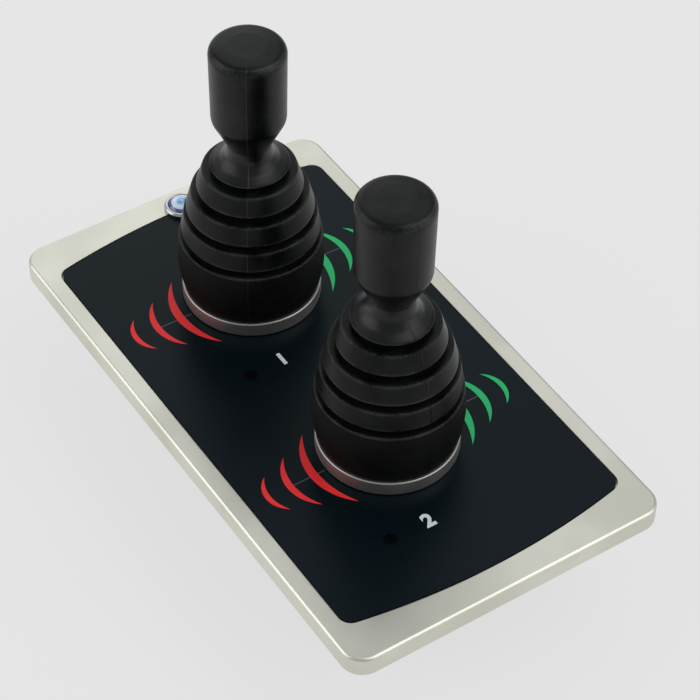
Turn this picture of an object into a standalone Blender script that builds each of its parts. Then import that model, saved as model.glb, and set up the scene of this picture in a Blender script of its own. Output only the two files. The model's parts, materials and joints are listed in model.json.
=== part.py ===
"""Thruster control panel with two tilting joysticks and a lit power button.

The panel lies face up: +X is starboard, +Y is the bow, +Z is out of the dash towards the user.
The origin is under the middle of the panel, on the flat back of its rear housing.
Sizes are in millimetres, and MM turns them into metres.
"""

import math

import bmesh
import bpy
from mathutils import Matrix, Vector

MM = 0.001

# Clearances
GAP = 0.3
OVERCUT = 1.0

# Layout along the panel, from joystick to joystick and on to the stern edge
STICK_SPACING = 59.7
STERN_STICK_TO_EDGE = 50.9

# Bezel plate
PLATE_OVERHANG = 16.5
PLATE_THICKNESS = 5.3
PLATE_CORNER = 5.5
PLATE_BEVEL = 0.6

# Faceplate overlay, whose short ends are bowed
OVERLAY_SIDE_MARGIN = 4.9
OVERLAY_END_MARGIN = 7.3
OVERLAY_END_RADIUS = 185.0
OVERLAY_CORNER = 3.0
OVERLAY_THICKNESS = 0.7
OVERLAY_STEP = 0.1

# Gasket between the plate and the dash
GASKET_THICKNESS = 1.0
GASKET_INSET = 1.0
GASKET_TO_EAR = 3.1
GASKET_END_WIDTH = 6.0
GASKET_BOW_WIDTH = 1.2
GASKET_CORNER = 4.5

# Rear housing
HOUSING_WIDTH = 52.0
HOUSING_WALL = 2.0
HOUSING_CORNER = 5.0
HOUSING_CHAMFER = 1.2
EAR_REACH = 6.4
EAR_LENGTH = 9.0
EAR_THICKNESS = 3.0
EAR_FROM_BOW_STICK = 15.0

# Studs that clamp the panel to the dash
STUD_RADIUS = 2.0
STUD_LENGTH = 13.0
STUD_ENGAGEMENT = 3.0
STUD_FROM_HOUSING = 7.0
STUD_END_INSET = 13.0
NUT_FLAT_RADIUS = 3.5
NUT_HEIGHT = 3.2
NUT_DROP = 6.5

# Screws
HOUSING_SCREW_RADIUS = 1.5
HOUSING_SCREW_BITE = 3.0
FRAME_SCREW_RADIUS = 1.25
FRAME_SCREW_BITE = 2.6
BOARD_SCREW_RADIUS = 1.1
BOARD_SCREW_BITE = 2.0
HEAD_RATIO = 1.8
HEAD_HEIGHT_RATIO = 1.25

# Circuit board and what it carries
BOARD_THICKNESS = 1.6
BOARD_POST_HEIGHT = 3.0
BOARD_POST_RADIUS = 2.8
BOARD_POST_INSET = 3.6
BOARD_POST_FROM_STICK = 18.0
SENSOR_X = 9.8
SENSOR_SIZE = (2.0, 4.2, 4.0)
CHIP_SIZE = (9.0, 9.0, 1.4)
CHIP_FROM_WALL = 7.0
BUZZER_RADIUS = 4.8
BUZZER_HEIGHT = 6.0
BUZZER_PORT_RADIUS = 1.0
SOCKET_WIDTH = 16.0
SOCKET_DEPTH = 10.0
SOCKET_HEIGHT = 9.2
SOCKET_WALL = 1.4
SOCKET_PROUD = 0.6
SOCKET_FROM_FRAME = 5.3

# Status light windows beside each joystick
LIGHT_X = -16.0
LIGHT_BEHIND_STICK = 25.2
LIGHT_RADIUS = 1.5
LIGHT_FOOT_RADIUS = 2.1
LIGHT_FOOT_HEIGHT = 1.5

# Joystick pivot and tilting parts
PIVOT_BELOW_FLANGE = 7.7
PIN_RADIUS = 1.5
PIN_HEAD_RADIUS = 2.7
PIN_HEAD_LENGTH = 1.0
PIN_TAIL = 1.8
CLIP_RADIUS = 3.1
CLIP_THICKNESS = 0.8
HUB_BARREL_RADIUS = 3.6
HUB_BLOCK_HALF_X = 4.5
HUB_BLOCK_HALF_Y = 5.2
HUB_BOSS_TOP = 12.0
HUB_FOOT_HALF_X = 2.6
HUB_FOOT_HALF_Y = 3.2
HUB_FOOT_DROP = 10.5
HUB_FOOT_TO_BOARD = 2.9
HUB_PEG_TOP = 5.7
HUB_PEG_THICKNESS = 1.2
SHAFT_RADIUS = 3.0
SHAFT_IN_HUB = 7.4
MAGNET_RADIUS = 1.6
MAGNET_LENGTH = 2.4

# Joystick frame
FRAME_FROM_WALL = 4.0
FRAME_LENGTH = 35.0
FRAME_FLANGE = 3.0
FRAME_CORNER = 3.0
CHEEK_INNER = 11.5
CHEEK_THICKNESS = 3.0
CHEEK_TOP_HALF = 7.5
CHEEK_FOOT_HALF = 5.0
CHEEK_DROP = 9.6
FRAME_PEG_THICKNESS = 1.3
FRAME_SCREW_SIDE_INSET = 3.0
FRAME_SCREW_END_INSET = 3.5

# Centring spring, wound round the hub barrel with both legs down
SPRING_WIRE = 0.45
SPRING_COIL_RADIUS = 4.7
SPRING_PITCH = 1.15
SPRING_TURNS = 3.5
SPRING_STEPS = 8
SPRING_LEG = 9.6

# Collar ring and its sleeve
COLLAR_BORE = 12.4
COLLAR_HEIGHT = 3.7
COLLAR_FLANGE = 2.4
COLLAR_BEVEL = 0.4
SLEEVE_WALL = 2.2
SLEEVE_DEPTH = 6.5

# Bellows boot, with heights above the plate's face
BOOT_WALL = 1.5
BOOT_FOOT_STEP = 0.5
BOOT_CUP_BULGE = 0.8
BOOT_CUP_WIDEST = 12.5
BOOT_CUP_TOP_INSET = 0.6
BOOT_CUP_TOP = 19.3
BOOT_RING_HEIGHT = 4.85
BOOT_GROOVE = 1.95
BOOT_GROOVE_DEPTH = 3.0
BOOT_RING_INSETS = ((1.8, 1.0), (3.7, 2.4), (6.5, 5.0))
BOOT_CAP_INSET = 8.3
BOOT_CAP_RISE = 5.05
BOOT_SKIRT_DEPTH = 5.0
NECK_RADIUS = 5.3

# Grip
GRIP_LENGTH = 29.6
GRIP_RADIUS = 8.9
GRIP_WAIST_RADIUS = 8.7
GRIP_TAPER_HEIGHT = 8.3
GRIP_RIM = 1.6
GRIP_CROWN = 5.6

# Power button
BUTTON_RING_RADIUS = 4.4
BUTTON_RING_HEIGHT = 2.4
BUTTON_RING_BEVEL = 0.4
BUTTON_RING_FLOOR = 0.5
BUTTON_BARREL_RADIUS = 3.1
BUTTON_BARREL_WALL = 0.6
BUTTON_BARREL_LENGTH = 11.0
BUTTON_BARREL_FLOOR = 1.2
BUTTON_LENS_RADIUS = 3.15
BUTTON_LENS_SKIRT = 0.7
BUTTON_DOME = 1.2
BUTTON_STEM_RADIUS = 1.0
BUTTON_STEM_REACH = 2.2
BUTTON_TRAVEL = 0.8
BUTTON_SWITCH_RADIUS = 3.5
BUTTON_SWITCH_HEIGHT = 5.0
BUTTON_NUT_FLAT_RADIUS = 4.2
BUTTON_NUT_HEIGHT = 2.4
BUTTON_SPRING_RADIUS = 1.85
BUTTON_SPRING_WIRE = 0.25
BUTTON_SPRING_TURNS = 3
BUTTON_SPRING_STEPS = 8

# Facets
ROUND_STEPS = 28
MEDIUM_STEPS = 18
SMALL_STEPS = 8
ARC_STEPS = 4
END_ARC_STEPS = 10

# Sizes that follow from the ones above
SLEEVE_RADIUS = COLLAR_BORE + SLEEVE_WALL
COLLAR_RADIUS = SLEEVE_RADIUS + COLLAR_FLANGE
CHEEK_OUTER = CHEEK_INNER + CHEEK_THICKNESS
HOUSING_INNER_WIDTH = HOUSING_WIDTH - 2 * HOUSING_WALL
FRAME_WIDTH = HOUSING_INNER_WIDTH - 2 * FRAME_FROM_WALL
FRAME_SCREW_X = FRAME_WIDTH / 2 - FRAME_SCREW_SIDE_INSET
FRAME_SCREW_Y = FRAME_LENGTH / 2 - FRAME_SCREW_END_INSET
GASKET_SIDE_WIDTH = PLATE_OVERHANG - GASKET_INSET - EAR_REACH - GASKET_TO_EAR
PLATE_WIDTH = HOUSING_WIDTH + 2 * PLATE_OVERHANG
BUTTON_TO_EDGE = GASKET_INSET + GASKET_BOW_WIDTH + GAP + BUTTON_NUT_FLAT_RADIUS
STICK_TO_SOCKET_FRONT = CHEEK_OUTER + SOCKET_FROM_FRAME + SOCKET_DEPTH
STICK_TO_BUTTON = STICK_TO_SOCKET_FRONT - SOCKET_PROUD + GAP + BUTTON_NUT_FLAT_RADIUS
PLATE_LENGTH = BUTTON_TO_EDGE + STICK_TO_BUTTON + STICK_SPACING + STERN_STICK_TO_EDGE

# Heights, from the back of the housing up to the top of the grips
BOARD_HEIGHT = HOUSING_WALL + BOARD_POST_HEIGHT
BOARD_TOP = BOARD_HEIGHT + BOARD_THICKNESS
ON_BOARD = BOARD_TOP + GAP
PIVOT_HEIGHT = BOARD_TOP + HUB_FOOT_TO_BOARD + HUB_FOOT_DROP
HOUSING_HEIGHT = PIVOT_HEIGHT + PIVOT_BELOW_FLANGE
FLANGE_BOTTOM = HOUSING_HEIGHT - FRAME_FLANGE
GASKET_BOTTOM = HOUSING_HEIGHT - GASKET_THICKNESS
PLATE_BOTTOM = HOUSING_HEIGHT + GAP
PLATE_TOP = PLATE_BOTTOM + PLATE_THICKNESS
OVERLAY_TOP = PLATE_TOP - OVERLAY_STEP
OVERLAY_BOTTOM = OVERLAY_TOP - OVERLAY_THICKNESS
COLLAR_BOTTOM = OVERLAY_TOP + GAP
COLLAR_TOP = COLLAR_BOTTOM + COLLAR_HEIGHT
BOOT_FOOT = COLLAR_TOP + GAP - PLATE_TOP
BOOT_PITCH = BOOT_GROOVE + BOOT_RING_HEIGHT
BOOT_CAP_EDGE = BOOT_CUP_TOP + len(BOOT_RING_INSETS) * BOOT_PITCH + BOOT_GROOVE
NECK_HEIGHT = BOOT_CAP_EDGE + BOOT_CAP_RISE
GRIP_BOTTOM = PLATE_TOP + NECK_HEIGHT + GAP
GRIP_TOP = PLATE_TOP + NECK_HEIGHT + GRIP_LENGTH
SHAFT_BOTTOM = HUB_BOSS_TOP - SHAFT_IN_HUB

# Places along the panel
BUTTON_Y = PLATE_LENGTH / 2 - BUTTON_TO_EDGE
BOW_Y = BUTTON_Y - STICK_TO_BUTTON
STERN_Y = BOW_Y - STICK_SPACING
MIDDLE_Y = (BOW_Y + STERN_Y) / 2
STICKS = (("bow", BOW_Y), ("stern", STERN_Y))
HOUSING_BOW = BUTTON_Y - BUTTON_NUT_FLAT_RADIUS - GAP
HOUSING_STERN = STERN_Y - LIGHT_BEHIND_STICK - LIGHT_FOOT_RADIUS - GAP - HOUSING_WALL
HOUSING_LENGTH = HOUSING_BOW - HOUSING_STERN
HOUSING_Y = (HOUSING_BOW + HOUSING_STERN) / 2


def material(name, colour, roughness, metallic=0.0):
    """A Principled BSDF in one colour."""
    made = bpy.data.materials.new(name)
    made.use_nodes = True
    shader = made.node_tree.nodes["Principled BSDF"]
    shader.inputs["Base Color"].default_value = (*colour, 1.0)
    shader.inputs["Roughness"].default_value = roughness
    shader.inputs["Metallic"].default_value = metallic
    return made


def add_object(name, bm, finish, parent=None, sharp=35.0):
    """Turns a bmesh into a smooth-shaded object whose edges over the sharp angle stay crisp."""
    bmesh.ops.recalc_face_normals(bm, faces=bm.faces)
    mesh = bpy.data.meshes.new(name)
    bm.to_mesh(mesh)
    bm.free()
    mesh.materials.append(MATERIALS[finish])
    mesh.shade_smooth()
    mesh.set_sharp_from_angle(angle=math.radians(sharp))
    made = bpy.data.objects.new(name, mesh)
    made.parent = parent
    bpy.context.scene.collection.objects.link(made)
    return made


def add_empty(name, place):
    """An empty on a joint's axis, which carries the pieces that move together."""
    made = bpy.data.objects.new(name, None)
    made.empty_display_size = 10 * MM
    made.location = Vector(place) * MM
    bpy.context.scene.collection.objects.link(made)
    return made


def place(obj, x, y, z=0.0):
    """Moves an object to a place under its parent."""
    obj.location = Vector((x, y, z)) * MM
    return obj


def arc(cx, cy, radius, start, end, steps):
    """Points on an arc from one angle to another, in degrees, both ends included."""
    turn = (end - start) / steps
    angles = [math.radians(start + turn * i) for i in range(steps + 1)]
    return [(cx + radius * math.cos(a), cy + radius * math.sin(a)) for a in angles]


def circle(radius, steps, cx=0.0, cy=0.0, start=0.0):
    """Points round a full circle."""
    return arc(cx, cy, radius, start, start + 360.0, steps)[:-1]


def rounded_rectangle(width, length, radius, cx=0.0, cy=0.0, steps=ARC_STEPS):
    """Points round a rectangle with round corners, anticlockwise."""
    x = width / 2 - radius
    y = length / 2 - radius
    corners = ((x, y, 0), (-x, y, 90), (-x, -y, 180), (x, -y, 270))
    points = []
    for px, py, start in corners:
        points += arc(cx + px, cy + py, radius, start, start + 90, steps)
    return points


def overlay_outline(grow=0.0):
    """Straight long sides, short ends bowed outwards, and round corners."""
    half = PLATE_WIDTH / 2 - OVERLAY_SIDE_MARGIN + grow
    apex = PLATE_LENGTH / 2 - OVERLAY_END_MARGIN + grow
    end_radius = OVERLAY_END_RADIUS + grow
    corner = OVERLAY_CORNER + grow
    end_centre = apex - end_radius
    corner_x = half - corner
    corner_y = end_centre + math.sqrt((end_radius - corner) ** 2 - corner_x**2)
    slope = math.degrees(math.atan2(corner_y - end_centre, corner_x))
    bow = arc(corner_x, corner_y, corner, 0, slope, ARC_STEPS)
    bow += arc(0, end_centre, end_radius, slope, 180 - slope, END_ARC_STEPS)[1:-1]
    bow += arc(-corner_x, corner_y, corner, 180 - slope, 180, ARC_STEPS)
    return bow + [(-x, -y) for x, y in bow]


def loft(loops):
    """A closed solid through loops of equally many points, each loop at its own height."""
    bm = bmesh.new()
    rings = []
    for points, z in loops:
        rings.append([bm.verts.new((x * MM, y * MM, z * MM)) for x, y in points])
    for lower, upper in zip(rings, rings[1:]):
        for i in range(len(lower)):
            j = (i + 1) % len(lower)
            bm.faces.new((lower[i], lower[j], upper[j], upper[i]))
    bm.faces.new(list(reversed(rings[0])))
    bm.faces.new(rings[-1])
    return bm


def prism(points, bottom, top):
    """An outline raised from one height to another."""
    return loft(((points, bottom), (points, top)))


def block(x0, x1, y0, y1, z0, z1):
    """A box between two corners."""
    return prism([(x0, y0), (x1, y0), (x1, y1), (x0, y1)], z0, z1)


def turned(profile, steps):
    """A profile of (radius, height) points turned round the Z axis.

    A profile that starts and ends on the axis makes a solid, and any other is closed into a ring.
    """
    bm = bmesh.new()
    verts = [bm.verts.new((r * MM, 0, z * MM)) for r, z in profile]
    edges = [bm.edges.new(pair) for pair in zip(verts, verts[1:])]
    if profile[0][0] > 0 or profile[-1][0] > 0:
        edges.append(bm.edges.new((verts[-1], verts[0])))
    bmesh.ops.spin(
        bm, geom=verts + edges, cent=(0, 0, 0), axis=(0, 0, 1), angle=math.tau, steps=steps
    )
    bmesh.ops.remove_doubles(bm, verts=bm.verts, dist=0.001 * MM)
    return bm


def rod(radius, bottom, top, steps=SMALL_STEPS):
    """A plain cylinder on the Z axis."""
    return prism(circle(radius, steps), bottom, top)


def lay_along_y(bm):
    """Turns a shape made on the Z axis so that its top points towards the bow."""
    turn = Matrix.Rotation(math.radians(-90), 3, "X")
    bmesh.ops.rotate(bm, verts=bm.verts, cent=(0, 0, 0), matrix=turn)
    return bm


def shift(bm, x=0.0, y=0.0, z=0.0):
    """Moves a shape inside its own object."""
    bmesh.ops.translate(bm, verts=bm.verts, vec=Vector((x, y, z)) * MM)
    return bm


def combine(target, name, bm, operation, parent=None):
    """Adds or cuts a shape with a Boolean modifier, and hides the tool object."""
    tool = add_object(name, bm, "tool", parent)
    tool.hide_render = True
    tool.display_type = "WIRE"
    modifier = target.modifiers.new(name, "BOOLEAN")
    modifier.operation = operation
    modifier.solver = "EXACT"
    modifier.object = tool
    return tool


def cut(target, name, bm, parent=None):
    """Cuts a shape out of an object."""
    return combine(target, "cut_" + name, bm, "DIFFERENCE", parent)


def fuse(target, name, bm, parent=None):
    """Joins a shape to an object as one body."""
    return combine(target, "add_" + name, bm, "UNION", parent)


def wire(name, points, radius, finish, parent=None):
    """A round wire with filled ends along a run of points."""
    curve = bpy.data.curves.new(name, "CURVE")
    curve.dimensions = "3D"
    curve.bevel_depth = radius * MM
    curve.bevel_resolution = 1
    curve.use_fill_caps = True
    spline = curve.splines.new("POLY")
    spline.points.add(len(points) - 1)
    for spot, (x, y, z) in zip(spline.points, points):
        spot.co = (x * MM, y * MM, z * MM, 1.0)
    curve.materials.append(MATERIALS[finish])
    made = bpy.data.objects.new(name, curve)
    made.parent = parent
    bpy.context.scene.collection.objects.link(made)
    return made


def corners(x, bow, stern):
    """Four places named by their corner of the panel."""
    for end, y in (("bow", bow), ("stern", stern)):
        for side, sign in (("port", -1), ("starboard", 1)):
            yield f"{end}_{side}", sign * x, y


def screw(name, radius, length, x, y, head_z):
    """A pan-head screw that points up, with the seat of its head at head_z."""
    head = radius * HEAD_RATIO
    height = radius * HEAD_HEIGHT_RATIO
    profile = (
        (0, length),
        (radius * 0.7, length),
        (radius, length - radius * 0.4),
        (radius, 0),
        (head, 0),
        (head, -height * 0.6),
        (head * 0.7, -height),
        (0, -height),
    )
    return place(add_object(name, turned(profile, SMALL_STEPS), "steel"), x, y, head_z)


def hex_nut(name, flat_radius, height, bore, x, y, top, finish):
    """A hexagon nut with bevelled faces, flats towards the bow and stern."""
    corner = flat_radius / math.cos(math.radians(30))
    bevel = flat_radius * 0.08
    loops = (
        (circle(corner - bevel, 6), -height),
        (circle(corner, 6), bevel - height),
        (circle(corner, 6), -bevel),
        (circle(corner - bevel, 6), 0),
    )
    nut = place(add_object(name, loft(loops), finish), x, y, top)
    cut(nut, name + "_bore", rod(bore, -height - OVERCUT, OVERCUT), nut)
    return nut


def light_places():
    """The status light of each joystick: its name, x and y."""
    for end, y in STICKS:
        yield end, LIGHT_X, y - LIGHT_BEHIND_STICK


def stud_places():
    """The four studs near the plate's corners."""
    reach = PLATE_LENGTH / 2 - STUD_END_INSET
    return corners(HOUSING_WIDTH / 2 + STUD_FROM_HOUSING, reach, -reach)


def ear_places():
    """The four screwed ears on the housing's long sides."""
    x = HOUSING_WIDTH / 2 + EAR_REACH / 2
    return corners(x, BOW_Y + EAR_FROM_BOW_STICK, STERN_Y - EAR_FROM_BOW_STICK)


def board_screw_places():
    """The four screws that hold the circuit board to the housing's posts."""
    x = HOUSING_INNER_WIDTH / 2 - BOARD_POST_INSET
    return corners(x, BOW_Y + BOARD_POST_FROM_STICK, STERN_Y - BOARD_POST_FROM_STICK)


def frame_screw_places():
    """Two screws for each joystick frame, on opposite corners."""
    for end, y in STICKS:
        yield f"{end}_1", -FRAME_SCREW_X, y - FRAME_SCREW_Y
        yield f"{end}_2", FRAME_SCREW_X, y + FRAME_SCREW_Y


def make_bezel_plate():
    """The metal plate: a bevelled slab with a pocket for the overlay and holes for all it carries."""
    rim = [
        rounded_rectangle(PLATE_WIDTH - 2 * i, PLATE_LENGTH - 2 * i, PLATE_CORNER - i)
        for i in (0, PLATE_BEVEL)
    ]
    body = loft(((rim[0], PLATE_BOTTOM), (rim[0], PLATE_TOP - PLATE_BEVEL), (rim[1], PLATE_TOP)))
    plate = add_object("bezel_plate", body, "satin_metal")
    pocket = prism(overlay_outline(GAP), OVERLAY_BOTTOM - GAP, PLATE_TOP + OVERCUT)
    cut(plate, "overlay_pocket", pocket)
    below = PLATE_BOTTOM - OVERCUT
    for end, y in STICKS:
        hole = prism(circle(SLEEVE_RADIUS + GAP, ROUND_STEPS, 0, y), below, PLATE_TOP)
        cut(plate, f"plate_hole_{end}", hole)
    for end, x, y in light_places():
        hole = prism(circle(LIGHT_RADIUS + GAP, SMALL_STEPS, x, y), below, PLATE_TOP)
        cut(plate, f"plate_light_{end}", hole)
    barrel = circle(BUTTON_BARREL_RADIUS + GAP, MEDIUM_STEPS, 0, BUTTON_Y)
    cut(plate, "plate_button", prism(barrel, below, PLATE_TOP + OVERCUT))
    blind = [(f"stud_{n}", x, y, STUD_RADIUS, STUD_ENGAGEMENT) for n, x, y in stud_places()]
    blind += [
        (f"ear_{n}", x, y, HOUSING_SCREW_RADIUS, HOUSING_SCREW_BITE) for n, x, y in ear_places()
    ]
    blind += [
        (f"frame_{n}", x, y, FRAME_SCREW_RADIUS, FRAME_SCREW_BITE)
        for n, x, y in frame_screw_places()
    ]
    for name, x, y, radius, depth in blind:
        hole = prism(circle(radius + GAP, SMALL_STEPS, x, y), below, PLATE_BOTTOM + depth + GAP)
        cut(plate, f"plate_{name}", hole)


def make_overlay():
    """The black faceplate sheet, cut out round the joysticks, the lights and the button."""
    sheet = add_object(
        "faceplate_overlay", prism(overlay_outline(), OVERLAY_BOTTOM, OVERLAY_TOP), "overlay_black"
    )
    below, above = OVERLAY_BOTTOM - OVERCUT, OVERLAY_TOP + OVERCUT
    for end, y in STICKS:
        hole = prism(circle(SLEEVE_RADIUS + GAP, ROUND_STEPS, 0, y), below, above)
        cut(sheet, f"overlay_hole_{end}", hole)
    for end, x, y in light_places():
        hole = prism(circle(LIGHT_RADIUS + GAP, SMALL_STEPS, x, y), below, above)
        cut(sheet, f"overlay_light_{end}", hole)
    barrel = circle(BUTTON_BARREL_RADIUS + GAP, MEDIUM_STEPS, 0, BUTTON_Y)
    cut(sheet, "overlay_button", prism(barrel, below, above))


def make_gasket():
    """The flat rubber seal under the plate's rim, narrower at the bow to clear the button."""
    width = PLATE_WIDTH - 2 * GASKET_INSET
    length = PLATE_LENGTH - 2 * GASKET_INSET
    outer = rounded_rectangle(width, length, GASKET_CORNER)
    gasket = add_object(
        "dash_gasket", prism(outer, GASKET_BOTTOM, GASKET_BOTTOM + GASKET_THICKNESS), "rubber"
    )
    opening_length = length - GASKET_END_WIDTH - GASKET_BOW_WIDTH
    opening = rounded_rectangle(
        width - 2 * GASKET_SIDE_WIDTH,
        opening_length,
        GASKET_CORNER - GASKET_BOW_WIDTH,
        0,
        (GASKET_END_WIDTH - GASKET_BOW_WIDTH) / 2,
    )
    cut(gasket, "gasket_opening", prism(opening, GASKET_BOTTOM - OVERCUT, PLATE_BOTTOM + OVERCUT))


def make_rear_housing():
    """The open box behind the plate, with screwed ears, board posts and a window for the socket."""
    rims = [
        rounded_rectangle(
            HOUSING_WIDTH - 2 * i, HOUSING_LENGTH - 2 * i, HOUSING_CORNER - i, 0, HOUSING_Y
        )
        for i in (HOUSING_CHAMFER, 0, HOUSING_WALL)
    ]
    shell = loft(((rims[0], 0), (rims[1], HOUSING_CHAMFER), (rims[1], HOUSING_HEIGHT)))
    housing = add_object("rear_housing", shell, "housing_black")
    ear_bottom = HOUSING_HEIGHT - EAR_THICKNESS
    for name, x, y in ear_places():
        inner = math.copysign(HOUSING_WIDTH / 2 - HOUSING_WALL / 2, x)
        outer = math.copysign(HOUSING_WIDTH / 2 + EAR_REACH, x)
        ear = block(
            min(inner, outer),
            max(inner, outer),
            y - EAR_LENGTH / 2,
            y + EAR_LENGTH / 2,
            ear_bottom,
            HOUSING_HEIGHT,
        )
        fuse(housing, f"ear_{name}", ear)
    cut(housing, "housing_cavity", prism(rims[2], HOUSING_WALL, HOUSING_HEIGHT + OVERCUT))
    for name, x, y in ear_places():
        hole = circle(HOUSING_SCREW_RADIUS + GAP, SMALL_STEPS, x, y)
        bore = prism(hole, ear_bottom - OVERCUT, HOUSING_HEIGHT + OVERCUT)
        cut(housing, f"ear_hole_{name}", bore)
    for name, x, y in board_screw_places():
        outline = circle(BOARD_POST_RADIUS, SMALL_STEPS, x, y)
        post = prism(outline, HOUSING_WALL / 2, BOARD_HEIGHT - GAP)
        fuse(housing, f"post_{name}", post)
        hole = circle(BOARD_SCREW_RADIUS + GAP, SMALL_STEPS, x, y)
        depth = BOARD_HEIGHT - BOARD_SCREW_BITE - GAP
        cut(housing, f"post_hole_{name}", prism(hole, depth, BOARD_HEIGHT + OVERCUT))
    reach = SOCKET_WIDTH / 2 + GAP
    window = block(
        -reach,
        reach,
        HOUSING_BOW - HOUSING_WALL - OVERCUT,
        HOUSING_BOW + OVERCUT,
        ON_BOARD - GAP,
        ON_BOARD + SOCKET_HEIGHT + GAP,
    )
    cut(housing, "socket_window", window)


def make_studs_and_nuts():
    """Four studs in the plate, each with a hexagon nut part of the way down."""
    for name, x, y in stud_places():
        top = STUD_ENGAGEMENT
        profile = (
            (0, top),
            (STUD_RADIUS, top),
            (STUD_RADIUS, STUD_RADIUS * 0.3 - STUD_LENGTH),
            (STUD_RADIUS * 0.7, -STUD_LENGTH),
            (0, -STUD_LENGTH),
        )
        stud = add_object(f"mounting_stud_{name}", turned(profile, SMALL_STEPS), "steel")
        place(stud, x, y, PLATE_BOTTOM)
        bore = STUD_RADIUS + GAP
        nut_top = PLATE_BOTTOM - NUT_DROP
        hex_nut(f"stud_nut_{name}", NUT_FLAT_RADIUS, NUT_HEIGHT, bore, x, y, nut_top, "steel")


def make_screws():
    """The screws of the housing, the joystick frames and the circuit board."""
    ear_bottom = HOUSING_HEIGHT - EAR_THICKNESS
    for name, x, y in ear_places():
        length = EAR_THICKNESS + 2 * GAP + HOUSING_SCREW_BITE
        screw(f"housing_screw_{name}", HOUSING_SCREW_RADIUS, length, x, y, ear_bottom - GAP)
    for name, x, y in frame_screw_places():
        length = FRAME_FLANGE + 2 * GAP + FRAME_SCREW_BITE
        screw(f"frame_screw_{name}", FRAME_SCREW_RADIUS, length, x, y, FLANGE_BOTTOM - GAP)
    for name, x, y in board_screw_places():
        length = BOARD_THICKNESS + GAP + BOARD_SCREW_BITE
        made = screw(f"board_screw_{name}", BOARD_SCREW_RADIUS, length, x, y, BOARD_TOP + GAP)
        made.rotation_euler.x = math.pi


def make_circuit_board():
    """The board on its posts, with the sensors, the chip, the buzzer and the bus socket."""
    clear = HOUSING_WALL + GAP
    outline = rounded_rectangle(
        HOUSING_WIDTH - 2 * clear,
        HOUSING_LENGTH - 2 * clear,
        HOUSING_CORNER - HOUSING_WALL,
        0,
        HOUSING_Y,
    )
    board = add_object("circuit_board", prism(outline, BOARD_HEIGHT, BOARD_TOP), "board_green")
    for name, x, y in board_screw_places():
        hole = circle(BOARD_SCREW_RADIUS + GAP, SMALL_STEPS, x, y)
        cut(board, f"board_{name}", prism(hole, BOARD_HEIGHT - OVERCUT, BOARD_TOP + OVERCUT))
    half_x, half_y, height = SENSOR_SIZE[0] / 2, SENSOR_SIZE[1] / 2, SENSOR_SIZE[2]
    for end, y in STICKS:
        for side, x in (("port", -SENSOR_X), ("starboard", SENSOR_X)):
            name = f"{end}_tilt_sensor_{side}"
            top = rounded_rectangle(2 * half_x - 0.4, 2 * half_y - 0.4, 0.2, steps=1)
            base = rounded_rectangle(2 * half_x, 2 * half_y, 0.3, steps=1)
            shape = loft(((base, 0), (base, height - 0.4), (top, height)))
            place(add_object(name, shape, "chip_black"), x, y, ON_BOARD)
    chip = rounded_rectangle(CHIP_SIZE[0], CHIP_SIZE[1], 0.5, steps=1)
    place(
        add_object("control_chip", prism(chip, 0, CHIP_SIZE[2]), "chip_black"),
        HOUSING_INNER_WIDTH / 2 - CHIP_FROM_WALL - CHIP_SIZE[0] / 2,
        MIDDLE_Y,
        ON_BOARD,
    )
    profile = (
        (0, 0),
        (BUZZER_RADIUS, 0),
        (BUZZER_RADIUS, BUZZER_HEIGHT - 0.5),
        (BUZZER_RADIUS - 0.5, BUZZER_HEIGHT),
        (BUZZER_PORT_RADIUS, BUZZER_HEIGHT),
        (BUZZER_PORT_RADIUS, BUZZER_HEIGHT - 1),
        (0, BUZZER_HEIGHT - 1),
    )
    place(add_object("buzzer", turned(profile, MEDIUM_STEPS), "chip_black"), 0, MIDDLE_Y, ON_BOARD)


def make_bus_socket():
    """The socket on the board's bow edge, open towards the bow."""
    front = HOUSING_BOW + SOCKET_PROUD
    back = front - SOCKET_DEPTH
    half = SOCKET_WIDTH / 2
    top = ON_BOARD + SOCKET_HEIGHT
    socket = add_object("bus_socket", block(-half, half, back, front, ON_BOARD, top), "socket_grey")
    inner = half - SOCKET_WALL
    cavity = block(
        -inner,
        inner,
        back + SOCKET_WALL,
        front + OVERCUT,
        ON_BOARD + SOCKET_WALL,
        top - SOCKET_WALL,
    )
    cut(socket, "socket_cavity", cavity)


def make_light_pipes():
    """A clear rod from the board to the window of each status light."""
    for end, x, y in light_places():
        profile = (
            (0, OVERLAY_TOP),
            (LIGHT_RADIUS, OVERLAY_TOP),
            (LIGHT_RADIUS, ON_BOARD + LIGHT_FOOT_HEIGHT),
            (LIGHT_FOOT_RADIUS, ON_BOARD),
            (0, ON_BOARD),
        )
        place(add_object(f"status_light_pipe_{end}", turned(profile, SMALL_STEPS), "clear"), x, y)


def make_collar(end, y):
    """The steel ring round the boot's foot, with a sleeve down through the plate."""
    flange = COLLAR_BOTTOM
    profile = (
        (COLLAR_BORE, COLLAR_TOP),
        (COLLAR_RADIUS - COLLAR_BEVEL, COLLAR_TOP),
        (COLLAR_RADIUS, COLLAR_TOP - COLLAR_BEVEL),
        (COLLAR_RADIUS, flange),
        (SLEEVE_RADIUS, flange),
        (SLEEVE_RADIUS, PLATE_TOP - SLEEVE_DEPTH),
        (COLLAR_BORE, PLATE_TOP - SLEEVE_DEPTH),
    )
    place(add_object(f"{end}_collar_ring", turned(profile, ROUND_STEPS), "collar_steel"), 0, y)


def groove_middles():
    """Heights of the middle of each groove, from the cup up to the cap."""
    lowest = BOOT_CUP_TOP + BOOT_GROOVE / 2
    return [lowest + BOOT_PITCH * i for i in range(len(BOOT_RING_INSETS) + 1)]


def ring_radii():
    """The upper and lower radius of each rib, from the cup up."""
    cup = COLLAR_RADIUS + BOOT_CUP_BULGE
    return [(cup - upper, cup - lower) for upper, lower in BOOT_RING_INSETS]


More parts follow.
